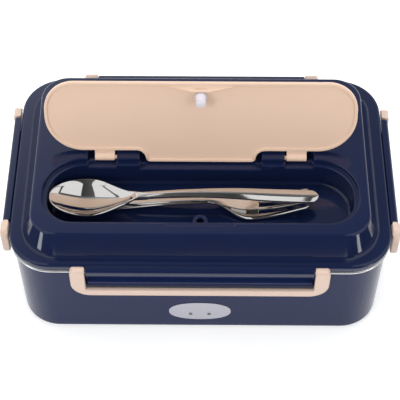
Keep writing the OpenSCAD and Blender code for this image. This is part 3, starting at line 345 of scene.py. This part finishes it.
def box_ring(path, out, z, turns=14):
    """Rounded rectangle moved outward by `out`: each corner is a quarter circle of radius
    r + out about the corner's centre, which lies w/2 - r and d/2 - r from the middle."""
    w, d, r = path
    a = np.linspace(0, np.pi / 2, turns) + np.arange(4)[:, None] * np.pi / 2
    side_x, side_y = np.array([(1, 1), (-1, 1), (-1, -1), (1, -1)]).T[..., None]
    x = side_x * (w / 2 - r) + (r + out) * np.cos(a)
    y = side_y * (d / 2 - r) + (r + out) * np.sin(a)
    return np.stack([x, y, np.full(x.shape, z)], -1).reshape(-1, 3)


def arc(centre, radius, start, stop, steps):
    """Points on a circle about a centre, between two angles in degrees."""
    a = np.radians(np.linspace(start, stop, steps))
    return list(zip(centre[0] + radius * np.cos(a), centre[1] + radius * np.sin(a)))


def quarter(steps):
    """Pairs 1 - sin(a), 1 - cos(a) for a from 0 to 90 degrees, which round an edge."""
    a = np.linspace(0, np.pi / 2, steps)
    return list(zip(1 - np.sin(a), 1 - np.cos(a)))


def skin(rows, closed=False):
    """Quads between neighbouring rings of equal length; `closed` also joins last to first."""
    rows = np.asarray(rows)
    count, length = rows.shape[:2]
    r = np.arange(count if closed else count - 1)[:, None]
    c = np.arange(length)[None, :]
    a, b = r * length + c, r * length + (c + 1) % length
    up, over = ((r + 1) % count) * length + c, ((r + 1) % count) * length + (c + 1) % length
    return rows.reshape(-1, 3), np.stack([a, b, over, up], -1).reshape(-1, 4)


def pour(body, points, edges=(), faces=()):
    """Adds points in millimetres, with their edges or faces, to a bmesh."""
    mesh = bpy.data.meshes.new("poured")
    mesh.from_pydata((np.asarray(points) * MM).tolist(), list(edges), list(faces))
    body.from_mesh(mesh)
    bpy.data.meshes.remove(mesh)


def piece(name, parts, material, fills=(), sharp=35, weigh=True):
    """Joins surfaces given in millimetres into one closed mesh, in which points nearer than
    WELD become one. `fills` are sets of flat rings whose inside, less any ring inside it, is
    closed with triangles."""
    body = bmesh.new()
    for points, faces in parts:
        pour(body, points, faces=faces.tolist())
    for rings in fills:
        first = len(body.verts)
        for ring in rings:
            here = np.arange(len(ring))
            pour(body, ring, edges=np.stack([here, np.roll(here, -1)], 1).tolist())
        body.verts.ensure_lookup_table()
        bmesh.ops.remove_doubles(body, verts=body.verts[first:], dist=WELD * MM)
        bmesh.ops.triangle_fill(body, edges=[e for e in body.edges if e.is_wire],
                                use_beauty=True)
    bmesh.ops.remove_doubles(body, verts=body.verts, dist=WELD * MM)
    bmesh.ops.dissolve_degenerate(body, edges=body.edges, dist=WELD * MM / 10)
    bmesh.ops.recalc_face_normals(body, faces=body.faces)
    mesh = bpy.data.meshes.new(name)
    body.to_mesh(mesh)
    body.free()
    mesh.polygons.foreach_set("use_smooth", np.ones(len(mesh.polygons), bool))
    mesh.set_sharp_from_angle(angle=np.radians(sharp))
    mesh.materials.append(material)
    thing = added(name, mesh)
    if weigh:
        even = thing.modifiers.new("even shading", "WEIGHTED_NORMAL")
        even.keep_sharp = True
        even.weight = 80
    return thing


def rounded_path(corners, steps=7):
    """Walks an open path of corners (x, y, radius); each corner becomes an arc that touches
    both of its sides. Gives points, the normals to the right of the way, and corner numbers."""
    points, normals, number = [], [], []
    way = np.array(corners, float)
    for k in range(len(way)):
        here, radius = way[k, :2], way[k, 2]
        before = here - way[k - 1, :2] if k else way[1, :2] - here
        after = way[k + 1, :2] - here if k + 1 < len(way) else before
        before, after = before / np.hypot(*before), after / np.hypot(*after)
        turn = np.arctan2(before[0] * after[1] - before[1] * after[0], before @ after)
        if abs(turn) < 1e-6:
            points.append(here)
            normals.append([before[1], -before[0]])
            number.append(k)
            continue
        reach = radius * np.tan(abs(turn) / 2)
        side = np.sign(turn)
        centre = here - before * reach + side * radius * np.array([-before[1], before[0]])
        count = steps * (4 if radius > 5 else 1)
        angle = np.linspace(0, turn, count)
        start = side * np.array([before[1], -before[0]])
        ray = np.stack([start[0] * np.cos(angle) - start[1] * np.sin(angle),
                        start[0] * np.sin(angle) + start[1] * np.cos(angle)], 1)
        points += list(centre + radius * ray)
        normals += list(side * ray)
        number += [k] * count
    return np.array(points), np.array(normals), np.array(number)


def whole(points, normals, *more):
    """Adds the mirror image in X of a half outline that runs from front to back."""
    flip = np.array([-1, 1])
    halves = zip((points, normals, *more), (points * flip, normals * flip, *more))
    return [np.concatenate([half, other[::-1][1:-1]]) for half, other in halves]


# The compartment's outline from the front's middle to the back's middle, with the finger
# notch, the notch of a hinge tab and half of the tongue's pocket. The ledge inside it drops
# upright into the notch and the pocket, so the stations at those drops are doubled.
LEDGE_Z, NOTCH_Z, POCKET_Z, TUB_FLOOR = 94.0, 91.5, 89.72, 76.5
half_way = [(0, -60.4, 0), (23, -60.4, 0.9), (23, -58.4, 0.9), (105.5, -58.4, 21),
            (105.5, -5.7, 27), (76.8, -5.7, 1.2), (76.8, 3.3, 1.2), (57.1, 3.3, 1.2),
            (57.1, -5.7, 1.2), (41.5, -5.7, 1.2), (41.5, 3.3, 1.2), (0, 3.3, 0)]
NOTCH, POCKET = (6, 7), 10
mouth, mouth_out, corner_no = rounded_path(half_way)
depth = np.select([np.isin(corner_no, NOTCH), corner_no >= POCKET], [NOTCH_Z, POCKET_Z], LEDGE_Z)
drops = [np.flatnonzero(corner_no == NOTCH[0] - 1)[-1],
         np.flatnonzero(corner_no == NOTCH[1] + 1)[0],
         np.flatnonzero(corner_no == POCKET - 1)[-1]]
order = np.sort(np.concatenate([np.arange(len(mouth)), drops]))
mouth, mouth_out, depth = mouth[order], mouth_out[order], depth[order]
depth[[drops[0] + 1, drops[1] + 1]] = NOTCH_Z
depth[drops[2] + 3] = POCKET_Z
mouth, mouth_out, depth = whole(mouth, mouth_out, depth)

# The compartment below its ledge: corners (centre x, centre y, radius) in front of and behind
# the line TUB_MIDDLE, the wall's inset from them, and the rounds of ledge and floor.
TUB_FRONT, TUB_BACK, TUB_MIDDLE = (84.5, -37.4, 21), (78.5, -32.7, 27), -35
TUB_INSET, TUB_WALL, TUB_EDGE, TUB_BROW, TUB_FOOT, SHARP_EDGE = 3, 2, 0.8, 0.8, 2.5, 0.01


def tub_ring(inset):
    """The compartment's plain outline moved inward, met station by station: on a straight
    side each ray runs along Y, and past the corner's centre it runs from that centre."""
    x, y = np.abs(mouth[:, 0]), mouth[:, 1]
    front = y < TUB_MIDDLE
    centre_x, centre_y, radius = np.where(front[:, None], TUB_FRONT, TUB_BACK).T
    straight = x <= centre_x
    ray = np.stack([np.where(straight, 0, x - centre_x),
                    np.where(straight, np.where(front, -1, 1), y - centre_y)], 1)
    ray /= np.hypot(*ray.T)[:, None]
    ring = np.stack([np.minimum(x, centre_x), centre_y], 1) + (radius - inset)[:, None] * ray
    ring[:, 0] *= np.sign(mouth[:, 0])
    return ring


def at_height(ring, z):
    """Puts a plan ring at a height, or at one height a station."""
    return np.column_stack([ring, np.broadcast_to(z, len(ring))])


def cup(top, grow, edge):
    """The compartment's skin, moved outward by `grow`, from its mouth at `top` to its floor:
    a rounded upper edge, the wall to each station's ledge, a rounded brow and the floor's
    fillet."""
    outline, shelf, low = mouth + grow * mouth_out, depth - grow, TUB_FLOOR - grow
    inset = TUB_INSET - grow
    rows = [at_height(outline + mouth_out * edge * s, top - edge * c) for s, c in quarter(6)]
    rows += [at_height(outline - mouth_out * inward, shelf + up)
             for inward, up in ((0, 0.5), (0.15, 0.15), (0.5, 0))]
    rows += [at_height(tub_ring(inset - TUB_BROW * s), shelf - TUB_BROW * c)
             for s, c in quarter(5)]
    rows += [at_height(tub_ring(inset + TUB_FOOT * c), low + TUB_FOOT * s)
             for s, c in quarter(7)]
    return rows


# The lid's outer section: up the skirt, round the brim, up the dome's slope, which leans in
# by 6.9 between brim and deck, and round onto the deck. The inside keeps the wall's thickness.
DOME_LEAN = 6.9
slope = np.arctan(DOME_LEAN / (DECK_TOP - BRIM_TOP))
steep = np.degrees(slope)


def slope_out(z, off):
    """How far out a point lies that stands `off` outside the dome's slope at height z: the
    slope itself leaves the brim's top at zero."""
    return off / np.cos(slope) - (z - BRIM_TOP) * np.tan(slope)


foot_z, head_z = BRIM_TOP + FOOT_ROUND, DECK_TOP - HEAD_ROUND
outside = [box_ring(LID_PATH, out, z) for out, z in
           [(-LID_WALL, BRIM_LOW), (-LID_WALL, SKIRT_LOW + 0.3), (-2.1, SKIRT_LOW),
            (-0.5, SKIRT_LOW)]
           + arc((-0.5, SKIRT_LOW + 0.5), 0.5, -60, 0, 3)
           + arc((-BRIM_ROUND, BRIM_TOP - BRIM_ROUND), BRIM_ROUND, 0, 90, 8)]
outside += [box_ring(DOME_PATH, out, z) for out, z in
            arc((slope_out(foot_z, FOOT_ROUND), foot_z), FOOT_ROUND, 270, 180 + steep, 7)
            + arc((slope_out(head_z, -HEAD_ROUND), head_z), HEAD_ROUND, steep, 90, 8)]
inside = [box_ring(DOME_PATH, slope_out(z, -LID_WALL), z) for z in (DECK_LOW, BRIM_LOW)]
hollow, under = cup(DECK_TOP, 0, TUB_EDGE), cup(DECK_LOW, TUB_WALL, SHARP_EDGE)
lid = piece("lid", [skin(inside + outside), skin(hollow), skin(under)], navy,
            fills=[(outside[-1], hollow[0]), (hollow[-1],), (inside[0], under[0]),
                   (under[-1],)])
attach(lid, "lid")
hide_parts("lid_shell")

# Latch flanges: a rounded bar moulded on each side of the brim, its ends drilled for the latch
# pins. A side is its turn in degrees, its face from the middle and half its bar's length.
SIDES = {"front": (0, 86.4, 75.3), "back": (180, 86.4, 75.3),
         "left": (-90, 133.05, 45.0), "right": (90, 133.05, 45.0)}
FLANGE_LOW, FLANGE_TOP, FLANGE_DEEP = SKIRT_LOW - 0.8, BRIM_TOP - 0.3, 5.0
FLANGE_ROUNDS, FLANGE_END = (1.2, 0.2, 0.2, 2), 0.9


def at_side(points, side):
    """Turns local points (along, inward, up) of the front side to one of the four sides."""
    turn, face, _ = SIDES[side]
    c, s = np.cos(np.radians(turn)), np.sin(np.radians(turn))
    x, y, z = np.moveaxis(np.asarray(points, float), -1, 0)
    y = y - face
    return np.stack([x * c - y * s, x * s + y * c, z], -1)


def capsule(section, half, round_end, steps=6):
    """Bar along X of a section (inward, up) about its middle: near each end the section
    shrinks by `round_end` (1 - sqrt(1 - t^2)) as t runs from 0 to 1 over the rounding."""
    low, high = section.min(0), section.max(0)
    middle, reach = (low + high) / 2, (high - low) / 2
    t = np.sin(np.linspace(0, np.pi / 2, steps))
    x = half - round_end * (1 - t)
    x = np.concatenate([-x[::-1], x])
    loss = round_end * (1 - np.sqrt(1 - np.concatenate([t[::-1], t]) ** 2))
    scale = 1 - loss[:, None] / reach
    rows = middle + (section - middle) * scale[:, None, :]
    return np.concatenate([np.broadcast_to(x[:, None, None], rows[..., :1].shape), rows], -1)


def ends(rows):
    """Closes the first and last ring of a skin by shrinking each onto its middle."""
    rows = np.asarray(rows)
    first, last = (np.broadcast_to(ring.mean(0), ring.shape)[None] for ring in rows[[0, -1]])
    return np.concatenate([first, rows, last])


def round_section(low, high, radius, steps=5):
    """Rounded rectangle between two corners; `radius` gives the four corner radii, from
    the lower left one anticlockwise."""
    ring = []
    for (i, j), start, r in zip(((0, 0), (1, 0), (1, 1), (0, 1)), (180, 270, 0, 90), radius):
        corner = (low, high)[i][0] + r * (1 - 2 * i), (low, high)[j][1] + r * (1 - 2 * j)
        ring += arc(corner, r, start, start + 90, steps)
    return np.array(ring)


bar = round_section((0, FLANGE_LOW), (FLANGE_DEEP, FLANGE_TOP), FLANGE_ROUNDS)
flanges = piece("latch_flanges", [
    skin(at_side(ends(capsule(bar, half, FLANGE_END)), side))
    for side, (_, _, half) in SIDES.items()], navy, sharp=50)
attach(flanges, "lid")

# Steam vent: a short chimney moulded on the compartment's floor, with a web to its front wall.
# The plug on the cover closes it.
VENT_Y, VENT_TOP, VENT_BORE, VENT_OUT = -47.4, TUB_FLOOR + 8, 2.4, 5.3
WEB_HALF, WEB_FRONT = 2, -56.5


def turned(profile, centre, turns):
    """Surface of revolution about the vertical through `centre` of a profile (radius, up)."""
    a = np.linspace(0, 2 * np.pi, turns, endpoint=False)
    r, z = np.array(profile, float).T[..., None]
    return np.stack([centre[0] + r * np.cos(a), centre[1] + r * np.sin(a), z + 0 * a], -1)


chimney = (arc((VENT_OUT - 0.8, VENT_TOP - 0.8), 0.8, 0, 90, 5)
           + arc((VENT_BORE + 0.6, VENT_TOP - 0.6), 0.6, 90, 180, 4)
           + [(VENT_BORE, TUB_FLOOR - 1.5), (VENT_OUT, TUB_FLOOR - 1.5)]
           + arc((VENT_OUT + 1, TUB_FLOOR + 1), 1, 260, 180, 4))
web = round_section((-WEB_HALF, TUB_FLOOR - 1), (WEB_HALF, VENT_TOP - 2.6), (0.2, 0.2, 0.7, 0.7))
web = [np.insert(web, 1, y, axis=1) for y in (WEB_FRONT, VENT_Y - 4)]
vent = piece("steam_vent", [skin(turned(chimney, (0, VENT_Y), 64), closed=True),
                            skin(ends(web))], navy, sharp=50)
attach(vent, "lid")

# Lid liner and seal: a grey plug under the lid that reaches into the tray, and a silicone ring
# pressed between lid and tray rim.
silicone = surface("white silicone", (0.72, 0.69, 0.74), 0.38, grain=0.006, level=0.4,
                   grain_size=0.5)
dress(liner, "lid_liner")
dress(silicone, "lid_seal")

# Latches: four peach clamps, each a bar on two arms that turn on steel pins in the flange's
# ends. The long ones have a round of 13 mm at their lower corners, the short ones of 8 mm
# and deeper arms.
peach_latch = surface("peach plastic, latches", (0.70, 0.530, 0.435), 0.3, grain=0.004,
                      level=0.42, grain_size=0.8, mottle=0.03)
dress(peach_latch, "latch_front", "latch_back", "latch_left", "latch_right")
dress(plain_steel, "latch_pins")
CORNER_DEEP = {"front": (13, 2.1), "back": (13, 2.1), "left": (8, 4.3), "right": (8, 4.3)}
PIVOT_Z, PIN_IN, KNUCKLE = 78.7, 1.9, 2.9
ARM_GAP, ARM_OUT, ARM_ROUND, INNER_ROUND, LATCH_FILLET = 0.4, 10.2, 4.2, 0.8, 1.1
CLAMP_LOW, CLAMP_TOP, CLAMP_FRONT, CLAMP_DEEP = PIVOT_Z - 25.4, PIVOT_Z - 18.8, -1.0, 2.1


def latch_rows(half, corner, deep):
    """Half of a latch's stations, from the top of an arm to the middle of the bar. Each is an
    inner point, an outer point (along, up) and the reach (inward) of its front and back: the
    front is flat and the back follows the knuckle's circle y = 1.9 + sqrt(2.9^2 - z^2)."""
    inner, outer = half + ARM_GAP, half + ARM_OUT
    a = np.radians(np.concatenate([np.linspace(88, 0, 10), np.linspace(-12, -86, 8)]))
    z = KNUCKLE * np.sin(a)
    dip = np.maximum(0, z + ARM_ROUND - KNUCKLE)
    side = outer - ARM_ROUND + np.sqrt(np.maximum(ARM_ROUND ** 2 - dip ** 2, 0.01))
    knuckle = [inner + 0 * z, PIVOT_Z + z, side, PIVOT_Z + z,
               PIN_IN - KNUCKLE * np.where(z > 0, np.cos(a), 1),
               np.maximum(deep, PIN_IN + KNUCKLE * np.cos(a))]
    arm = [(inner, z, outer, z, CLAMP_FRONT, deep)
           for z in (PIVOT_Z - 3, PIVOT_Z - 6, CLAMP_LOW + corner + 0.4)]
    t = np.linspace(0, np.pi / 2, 14)
    bend = [inner - INNER_ROUND * (1 - np.cos(t)), CLAMP_TOP + INNER_ROUND * (1 - np.sin(t)),
            outer - corner * (1 - np.cos(t)), CLAMP_LOW + corner * (1 - np.sin(t)),
            CLAMP_FRONT + 0 * t, CLAMP_DEEP + (deep - CLAMP_DEEP) * np.cos(t) ** 2]
    middle = [(0, CLAMP_TOP, 0, CLAMP_LOW, CLAMP_FRONT, CLAMP_DEEP)]
    return np.concatenate([np.transpose(knuckle), arm, np.transpose(bend), middle])


def latch_skin(side):
    """Lofts a rounded section, fillets up to 1.1 mm, through the stations of both halves."""
    rings = []
    for station in latch_rows(SIDES[side][2], *CORNER_DEEP[side]):
        near, far, (front, back) = station.reshape(3, 2)
        width, thick = np.hypot(*(far - near)), back - front
        r = min(LATCH_FILLET, 0.48 * thick, 0.48 * width)
        across = round_section((0, 0), (width, thick), (r, r, r, r))
        spot = near + across[:, :1] / width * (far - near)
        rings.append(np.column_stack([spot[:, 0], front + across[:, 1], spot[:, 1]]))
    rings = np.array(rings)
    mirror = rings[::-1][1:] * np.array([-1, 1, 1])
    return skin(at_side(ends(np.concatenate([rings, mirror])), side))


for side in SIDES:
    latch = piece("latch_" + side + "_clamp", [latch_skin(side)], peach_latch, sharp=60)
    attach(latch, side + "_latch")
    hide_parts("latch_" + side)

# Compartment cover: a peach moulding that stands open on two hinge tabs. A raised rim runs
# round its inside and round the tongue behind it.
peach = surface("peach plastic, cover", (0.80, 0.575, 0.435), 0.3, grain=0.004, level=0.42,
                grain_size=0.8, mottle=0.03)
dress(peach, "compartment_cover")
OPEN_ANGLE, HINGE_Y, HINGE_Z = np.radians(-112.5), -1.6, 94.7
PANEL_LOW, RIM_LOW = 95.3, 94.2
EDGE_ROUND, RIM_ROUND = 0.9, 0.7


def opened(points):
    """Turns closed-cover points by the opening angle about the hinge line along X."""
    x, y, z = np.moveaxis(np.asarray(points, float), -1, 0)
    y, z = y - HINGE_Y, z - HINGE_Z
    c, s = np.cos(OPEN_ANGLE), np.sin(OPEN_ANGLE)
    return np.stack([x, HINGE_Y + y * c - z * s, HINGE_Z + y * s + z * c], -1)


# The cover's plan: front corners of radius 20.4, back corners of 25.6, a concave round of 6.5
# where the tongue begins, and the tongue's two corners of 3.
plan, plan_out = whole(*rounded_path(
    [(0, -57.8, 0), (104.9, -57.8, 20.4), (104.9, -6.7, 25.6), (37.4, -6.7, 6.5),
     (37.4, 1.9, 3), (0, 1.9, 0)], 10)[:2])


def inner(distance, z):
    """The cover's outer edge moved inward by a distance, at a height."""
    return at_height(plan - distance * plan_out, z)


lip = ([inner(EDGE_ROUND * s, DECK_TOP - EDGE_ROUND * c) for s, c in quarter(6)]
       + [inner(RIM_ROUND * c, RIM_LOW + RIM_ROUND * s) for s, c in quarter(6)]
       + [inner(1.7, RIM_LOW), inner(1.95, RIM_LOW + 0.1), inner(2.15, RIM_LOW + 0.35),
          inner(2.2, PANEL_LOW - 0.3), inner(2.27, PANEL_LOW - 0.1), inner(2.45, PANEL_LOW)])

# In front of the plug the rim widens into a hollow wedge with a thin crest, and with a slot
# in its face. The face's points are shares of the way from the rim to the crest.
WEDGE_HALF, WEDGE_FLAT, WEDGE_Y, WEDGE_Z = 26, 4.6, -56.4, RIM_LOW + 0.03
HOLLOW, SLOT_HALF, SLOT_DEEP = 0.5, 3.65, 0.5
middle = [-WEDGE_FLAT, -3.7, -3.6, 0, 3.6, 3.7, WEDGE_FLAT]
x = np.concatenate([np.linspace(-WEDGE_HALF, -5, 22), middle,
                    np.linspace(5, WEDGE_HALF, 22)])[:, None]
swell = np.clip((WEDGE_HALF - abs(x)) / (WEDGE_HALF - WEDGE_FLAT), 0, 1)
crest_y, crest_z = -55.6 + 3.8 * swell, RIM_LOW - 1.8 * swell
share = np.array([0, 0.3, 0.42, 0.44, 0.66, 0.68, 0.76, 0.82, 0.93])
sunk = np.array([0, HOLLOW, HOLLOW, HOLLOW, HOLLOW, HOLLOW, HOLLOW, 0, 0.02])
in_slot = np.array([0, 0, 0, 1, 1, 0, 0, 0, 0]) * (abs(x) < SLOT_HALF)
face_y = WEDGE_Y + share * (crest_y - WEDGE_Y)
face_z = WEDGE_Z + share * (crest_z - RIM_LOW) + sunk + SLOT_DEEP * in_slot
root = PANEL_LOW + 0.5 + 0 * x
wedge_y = np.hstack([WEDGE_Y + 0 * x, face_y, crest_y, crest_y + 0.15, crest_y + 0.2])
wedge_z = np.hstack([root, face_z, crest_z + 0.15, crest_z + 0.45, root])
wedge = np.stack([x + 0 * wedge_y, wedge_y, wedge_z], -1)

# Hinge tabs: each a curl about the hinge line with a pin in it, both lofted along X. A station
# is its X and how far the tab shrinks there, or the pin's radius.
TAB_STATIONS = ((58.5, 0.5), (58.65, 0.15), (59.0, 0), (71.6, 0), (71.95, 0.15), (72.1, 0.5))
PIN_STATIONS = ((52.3, 1.2), (52.6, 1.5), (59.5, 1.5))
tab = np.array([(-9.3, PANEL_LOW - 0.4), (-9.3, DECK_TOP - 0.02), (-4, DECK_TOP - 0.02),
                (-2.6, DECK_TOP - 0.06)]
               + arc((HINGE_Y, HINGE_Z), 2.4, 72, -160, 16) + [(-4.6, PANEL_LOW - 0.4)])
shrink = (tab.mean(0) - tab) / np.hypot(*(tab - tab.mean(0)).T)[:, None]
round_pin = np.array(arc((0, 0), 1, 0, 360, 33)[:-1])
blocks = []
for side in (-1, 1):
    curl = [np.insert(tab + less * shrink, 0, side * x, axis=1) for x, less in TAB_STATIONS]
    pin = [np.insert((HINGE_Y, HINGE_Z) + r * round_pin, 0, side * x, axis=1)
           for x, r in PIN_STATIONS]
    blocks += [skin(opened(ends(curl))), skin(opened(ends(pin)))]
cover = piece("cover", [skin(opened(lip)), skin(opened(ends(wedge)))] + blocks, peach,
              fills=[(opened(lip[0]),), (opened(lip[-1]),)], sharp=50)
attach(cover, "cover")
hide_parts("compartment_cover")

# Vent plug: a soft white cone pressed onto the cover, whose nose closes the steam vent. Its
# profile is given as radius and depth below the cover's panel.
dress(silicone, "vent_plug")
PLUG_TIP = PANEL_LOW - 11.4
nose = [(radius, PANEL_LOW - down) for radius, down in
        ((0, 0), (4.25, 0), (4.3, 1.2), (4.2, 1.5), (3.9, 1.8), (3.2, 10.3), (3.05, 10.6),
         (2.15, 10.65), (1.6, 11.2))]
nose += arc((1.2, PLUG_TIP + 0.4), 0.4, -30, -90, 4) + [(0, PLUG_TIP)]
plug = piece("vent_nose", [skin(opened(turned(nose, (0, VENT_Y), 48)))], silicone, sharp=60)
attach(plug, "cover")
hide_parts("vent_plug")

# Spoon: pressed from 1.8 mm stainless sheet, its edges tumbled round, and mirror polished. It
# lies on the fork in the compartment, its bowl to the left.
polished = surface("polished steel", (0.68, 0.67, 0.66), 0.06, grain=0.001, metal=1,
                   spread=0.015, grain_size=4)
dress(polished, "spoon", "fork")
SHEET = 1.8
BOWL_HALF, BOWL_DEEP, BOWL_WIDEST, BOWL_END = 17, 7.6, 27.26, 58
NECK_HALF, NECK_END, HANDLE_SWELL, SPOON_LONG = 2.6, 64, 2.8, 182
TIP_LIFT, TIP_ROUND = 1.6, 6
FORK_Z = TUB_FLOOR + 0.2 + SHEET
SPOON_Z = FORK_Z + 0.5 + SHEET + BOWL_DEEP + TIP_LIFT


def rise(x, start, stop):
    """Soft step t^2 (3 - 2t), with t running from 0 to 1 between two places."""
    t = np.clip((x - start) / (stop - start), 0, 1)
    return t * t * (3 - 2 * t)


def closing(t):
    """Round that closes a plan: sqrt(1 - t^2), with t held between 0 and 1."""
    return np.sqrt(1 - np.clip(t, 0, 1) ** 2)


def blade(x, centre, half, top, across=14, turn=7):
    """Sheet of plan x, centre(x) +- half(x) under a top surface z = top(x, y). The plan is
    closed by half = 0 at both ends, and its edge is a half circle of the sheet's thickness
    laid along the plan's normal. Each station gives a ring: top, rim, underside, other rim."""
    h = half(x)
    normal = np.stack([-np.gradient(h, x, edge_order=1), np.ones_like(h)], 1)
    normal[0], normal[-1] = (-1, 0), (1, 0)
    normal /= np.hypot(*normal.T)[:, None]
    nx, ny = normal[:, :1], normal[:, 1:]
    x, h, r = x[:, None], h[:, None], SHEET / 2
    e = np.where(ny > 0.05, np.minimum(r, 0.95 * h), r)
    px, y = x - e * nx, np.maximum(h - e * ny, 0)
    v = np.linspace(-1, 1, across)
    upper = np.stack([px + 0 * v, centre(px) + y * v, top(px, y * v)], -1)
    a = np.linspace(np.pi / 2, -np.pi / 2, turn)[1:-1]
    rim_x, rim_y = px + e * np.cos(a) * nx, y + e * np.cos(a) * ny
    drop = r * (np.sin(a) - 1)
    rim = np.stack([rim_x, centre(px) + rim_y, top(px, y) + drop], -1)
    other = np.stack([rim_x, centre(px) - rim_y, top(px, -y) + drop], -1)
    lower = upper - np.array([0, 0, SHEET])
    return np.concatenate([upper, rim, lower[:, ::-1], other[:, ::-1]], 1)


def placed(points, shift, degrees):
    """Turns points about Z and moves them in plan."""
    x, y, z = np.moveaxis(np.asarray(points, float), -1, 0)
    c, s = np.cos(np.radians(degrees)), np.sin(np.radians(degrees))
    return np.stack([shift[0] + x * c - y * s, shift[1] + x * s + y * c, z], -1)


def spaced(*marks):
    """Stations that gather at the first and last mark, where the plan closes."""
    start, stop = marks[0], marks[-1]
    lead = start + (marks[1] - start) * (1 - np.cos(np.linspace(0, np.pi / 2, 26)))
    tail = stop - (stop - marks[2]) * (1 - np.cos(np.linspace(np.pi / 2, 0, 14)))
    return np.concatenate([lead, np.linspace(marks[1], marks[2], 70)[1:-1], tail])


def on_axis(x):
    """The middle line of a plan that lies along X."""
    return 0.0


def spoon_half(x):
    """Ellipse to the bowl's widest place, a soft neck, then a slowly widening handle with a
    round end."""
    bowl = BOWL_HALF * closing(1 - x / BOWL_WIDEST)
    neck = NECK_HALF + (BOWL_HALF - NECK_HALF) * (1 - rise(x, BOWL_WIDEST, NECK_END))
    handle = NECK_HALF + HANDLE_SWELL * rise(x, NECK_END, 162)
    handle = handle * closing((x - (SPOON_LONG - TIP_ROUND)) / TIP_ROUND)
    return np.where(x < BOWL_WIDEST, bowl, np.where(x < NECK_END, neck, handle))


def spoon_top(x, y):
    """Bowl of depth d (1 - |y/h|^2.6), rolled a little to the back, and a handle crowned by
    0.7 mm."""
    d = BOWL_DEEP * np.clip(1 - (2 * x / BOWL_END - 1) ** 2, 0, 1) ** 0.8 * (x < BOWL_END)
    v = np.clip(np.abs(y) / np.maximum(spoon_half(x), 0.5), 0, 1)
    line = (SPOON_Z + TIP_LIFT * (1 - rise(x, 0, 29)) + 3.4 * rise(x, 40.6, 92.8)
            - 4.6 * rise(x, 104.4, SPOON_LONG))
    roll = 0.1 * y * rise(x, 0, 8) * (1 - rise(x, 40, NECK_END))
    return line - d * (1 - v ** 2.6) - roll - 0.7 * rise(x, BOWL_END, 80) * v * v


spoon_rings = blade(spaced(0, BOWL_WIDEST, 170, SPOON_LONG), on_axis, spoon_half, spoon_top)
spoon = piece("spoon_polished", [skin(placed(spoon_rings, (-102.2, -32.0), 1))], polished,
              sharp=60, weigh=False)
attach(spoon, "spoon")
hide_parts("spoon")

# Fork: of the same polished sheet, under the spoon. Its head sinks behind an arched handle and
# carries four tines that sweep up.
HANDLE_END, TINES_START, FORK_LONG, FORK_ROUND = 107, 135, 171, 6
TINES, TINE_PITCH, TINE_TAPER, SLOT_SIDE = 4, 6, 1.6, 1.3
ROOT_X, ROOT_ROUND, TINE_TIP = 134, 1, 3


def fork_half(x):
    """Round end, slim handle and a head that narrows a little towards the tines' tips."""
    end = 4.7 * closing(1 - x / FORK_ROUND)
    handle = 2.7 + 2 * (1 - rise(x, 10, HANDLE_END))
    head = 2.7 + 9.7 * rise(x, HANDLE_END, 129) - 3.8 * rise(x, 129, FORK_LONG)
    return np.where(x < FORK_ROUND, end, np.where(x < HANDLE_END, handle, head))


def fork_top(x, y):
    """The handle arches and is crowned by 0.5 mm, the head sinks, and the tines sweep up by
    8 mm."""
    line = (FORK_Z + 5.6 * rise(x, 20, 97) - 5.6 * rise(x, 101, TINES_START)
            + 8 * np.clip((x - TINES_START) / 36, 0, None) ** 1.6)
    v = np.clip(np.abs(y) / np.maximum(fork_half(x), 0.5), 0, 1)
    sink = 0.2 * rise(x, 115, TINES_START) * (1 - v * v)
    return line - sink - 0.5 * (1 - rise(x, 95, 115)) * v * v


def head_end(x):
    """The fork's head without its tines, closed by a short round behind their roots."""
    return fork_half(x) * closing((x - 136.2) / 1.8)


def tine(k):
    """Tine k of four, closed by a round of 3 mm at its tip and one of 1 mm at its root."""
    def sides(x):
        """Its lower and upper boundary: the head's edge or the side of a slot. The slots
        draw together towards the tips."""
        pitch = TINE_PITCH - TINE_TAPER * (x - TINES_START) / 36
        return (-fork_half(x) if k == 0 else (k - 2) * pitch + SLOT_SIDE,
                fork_half(x) if k == TINES - 1 else (k - 1) * pitch - SLOT_SIDE)

    def centre(x):
        return sum(sides(x)) / 2

    def half(x):
        low, high = sides(x)
        round_ends = closing((x - tip_x) / TINE_TIP) * closing((ROOT_X - x) / ROOT_ROUND)
        return (high - low) / 2 * round_ends

    tip_x = FORK_LONG - TINE_TIP
    bend = [np.linspace(0, np.pi / 2, count) for count in (8, 10)]
    stations = np.concatenate([ROOT_X - ROOT_ROUND * np.cos(bend[0]),
                               np.linspace(ROOT_X, tip_x, 24)[1:],
                               tip_x + TINE_TIP * np.sin(bend[1])[1:]])
    return blade(stations, centre, half, lambda x, y: fork_top(x, y + centre(x)), across=6)


fork_parts = [blade(spaced(0, FORK_ROUND, 136, 138), on_axis, head_end, fork_top)]
fork_parts += [tine(k) for k in range(TINES)]
fork = piece("fork_polished", [skin(placed(rings, (-98, -30.85), 0.6)) for rings in fork_parts],
             polished, sharp=60, weigh=False)
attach(fork, "fork")
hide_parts("fork")
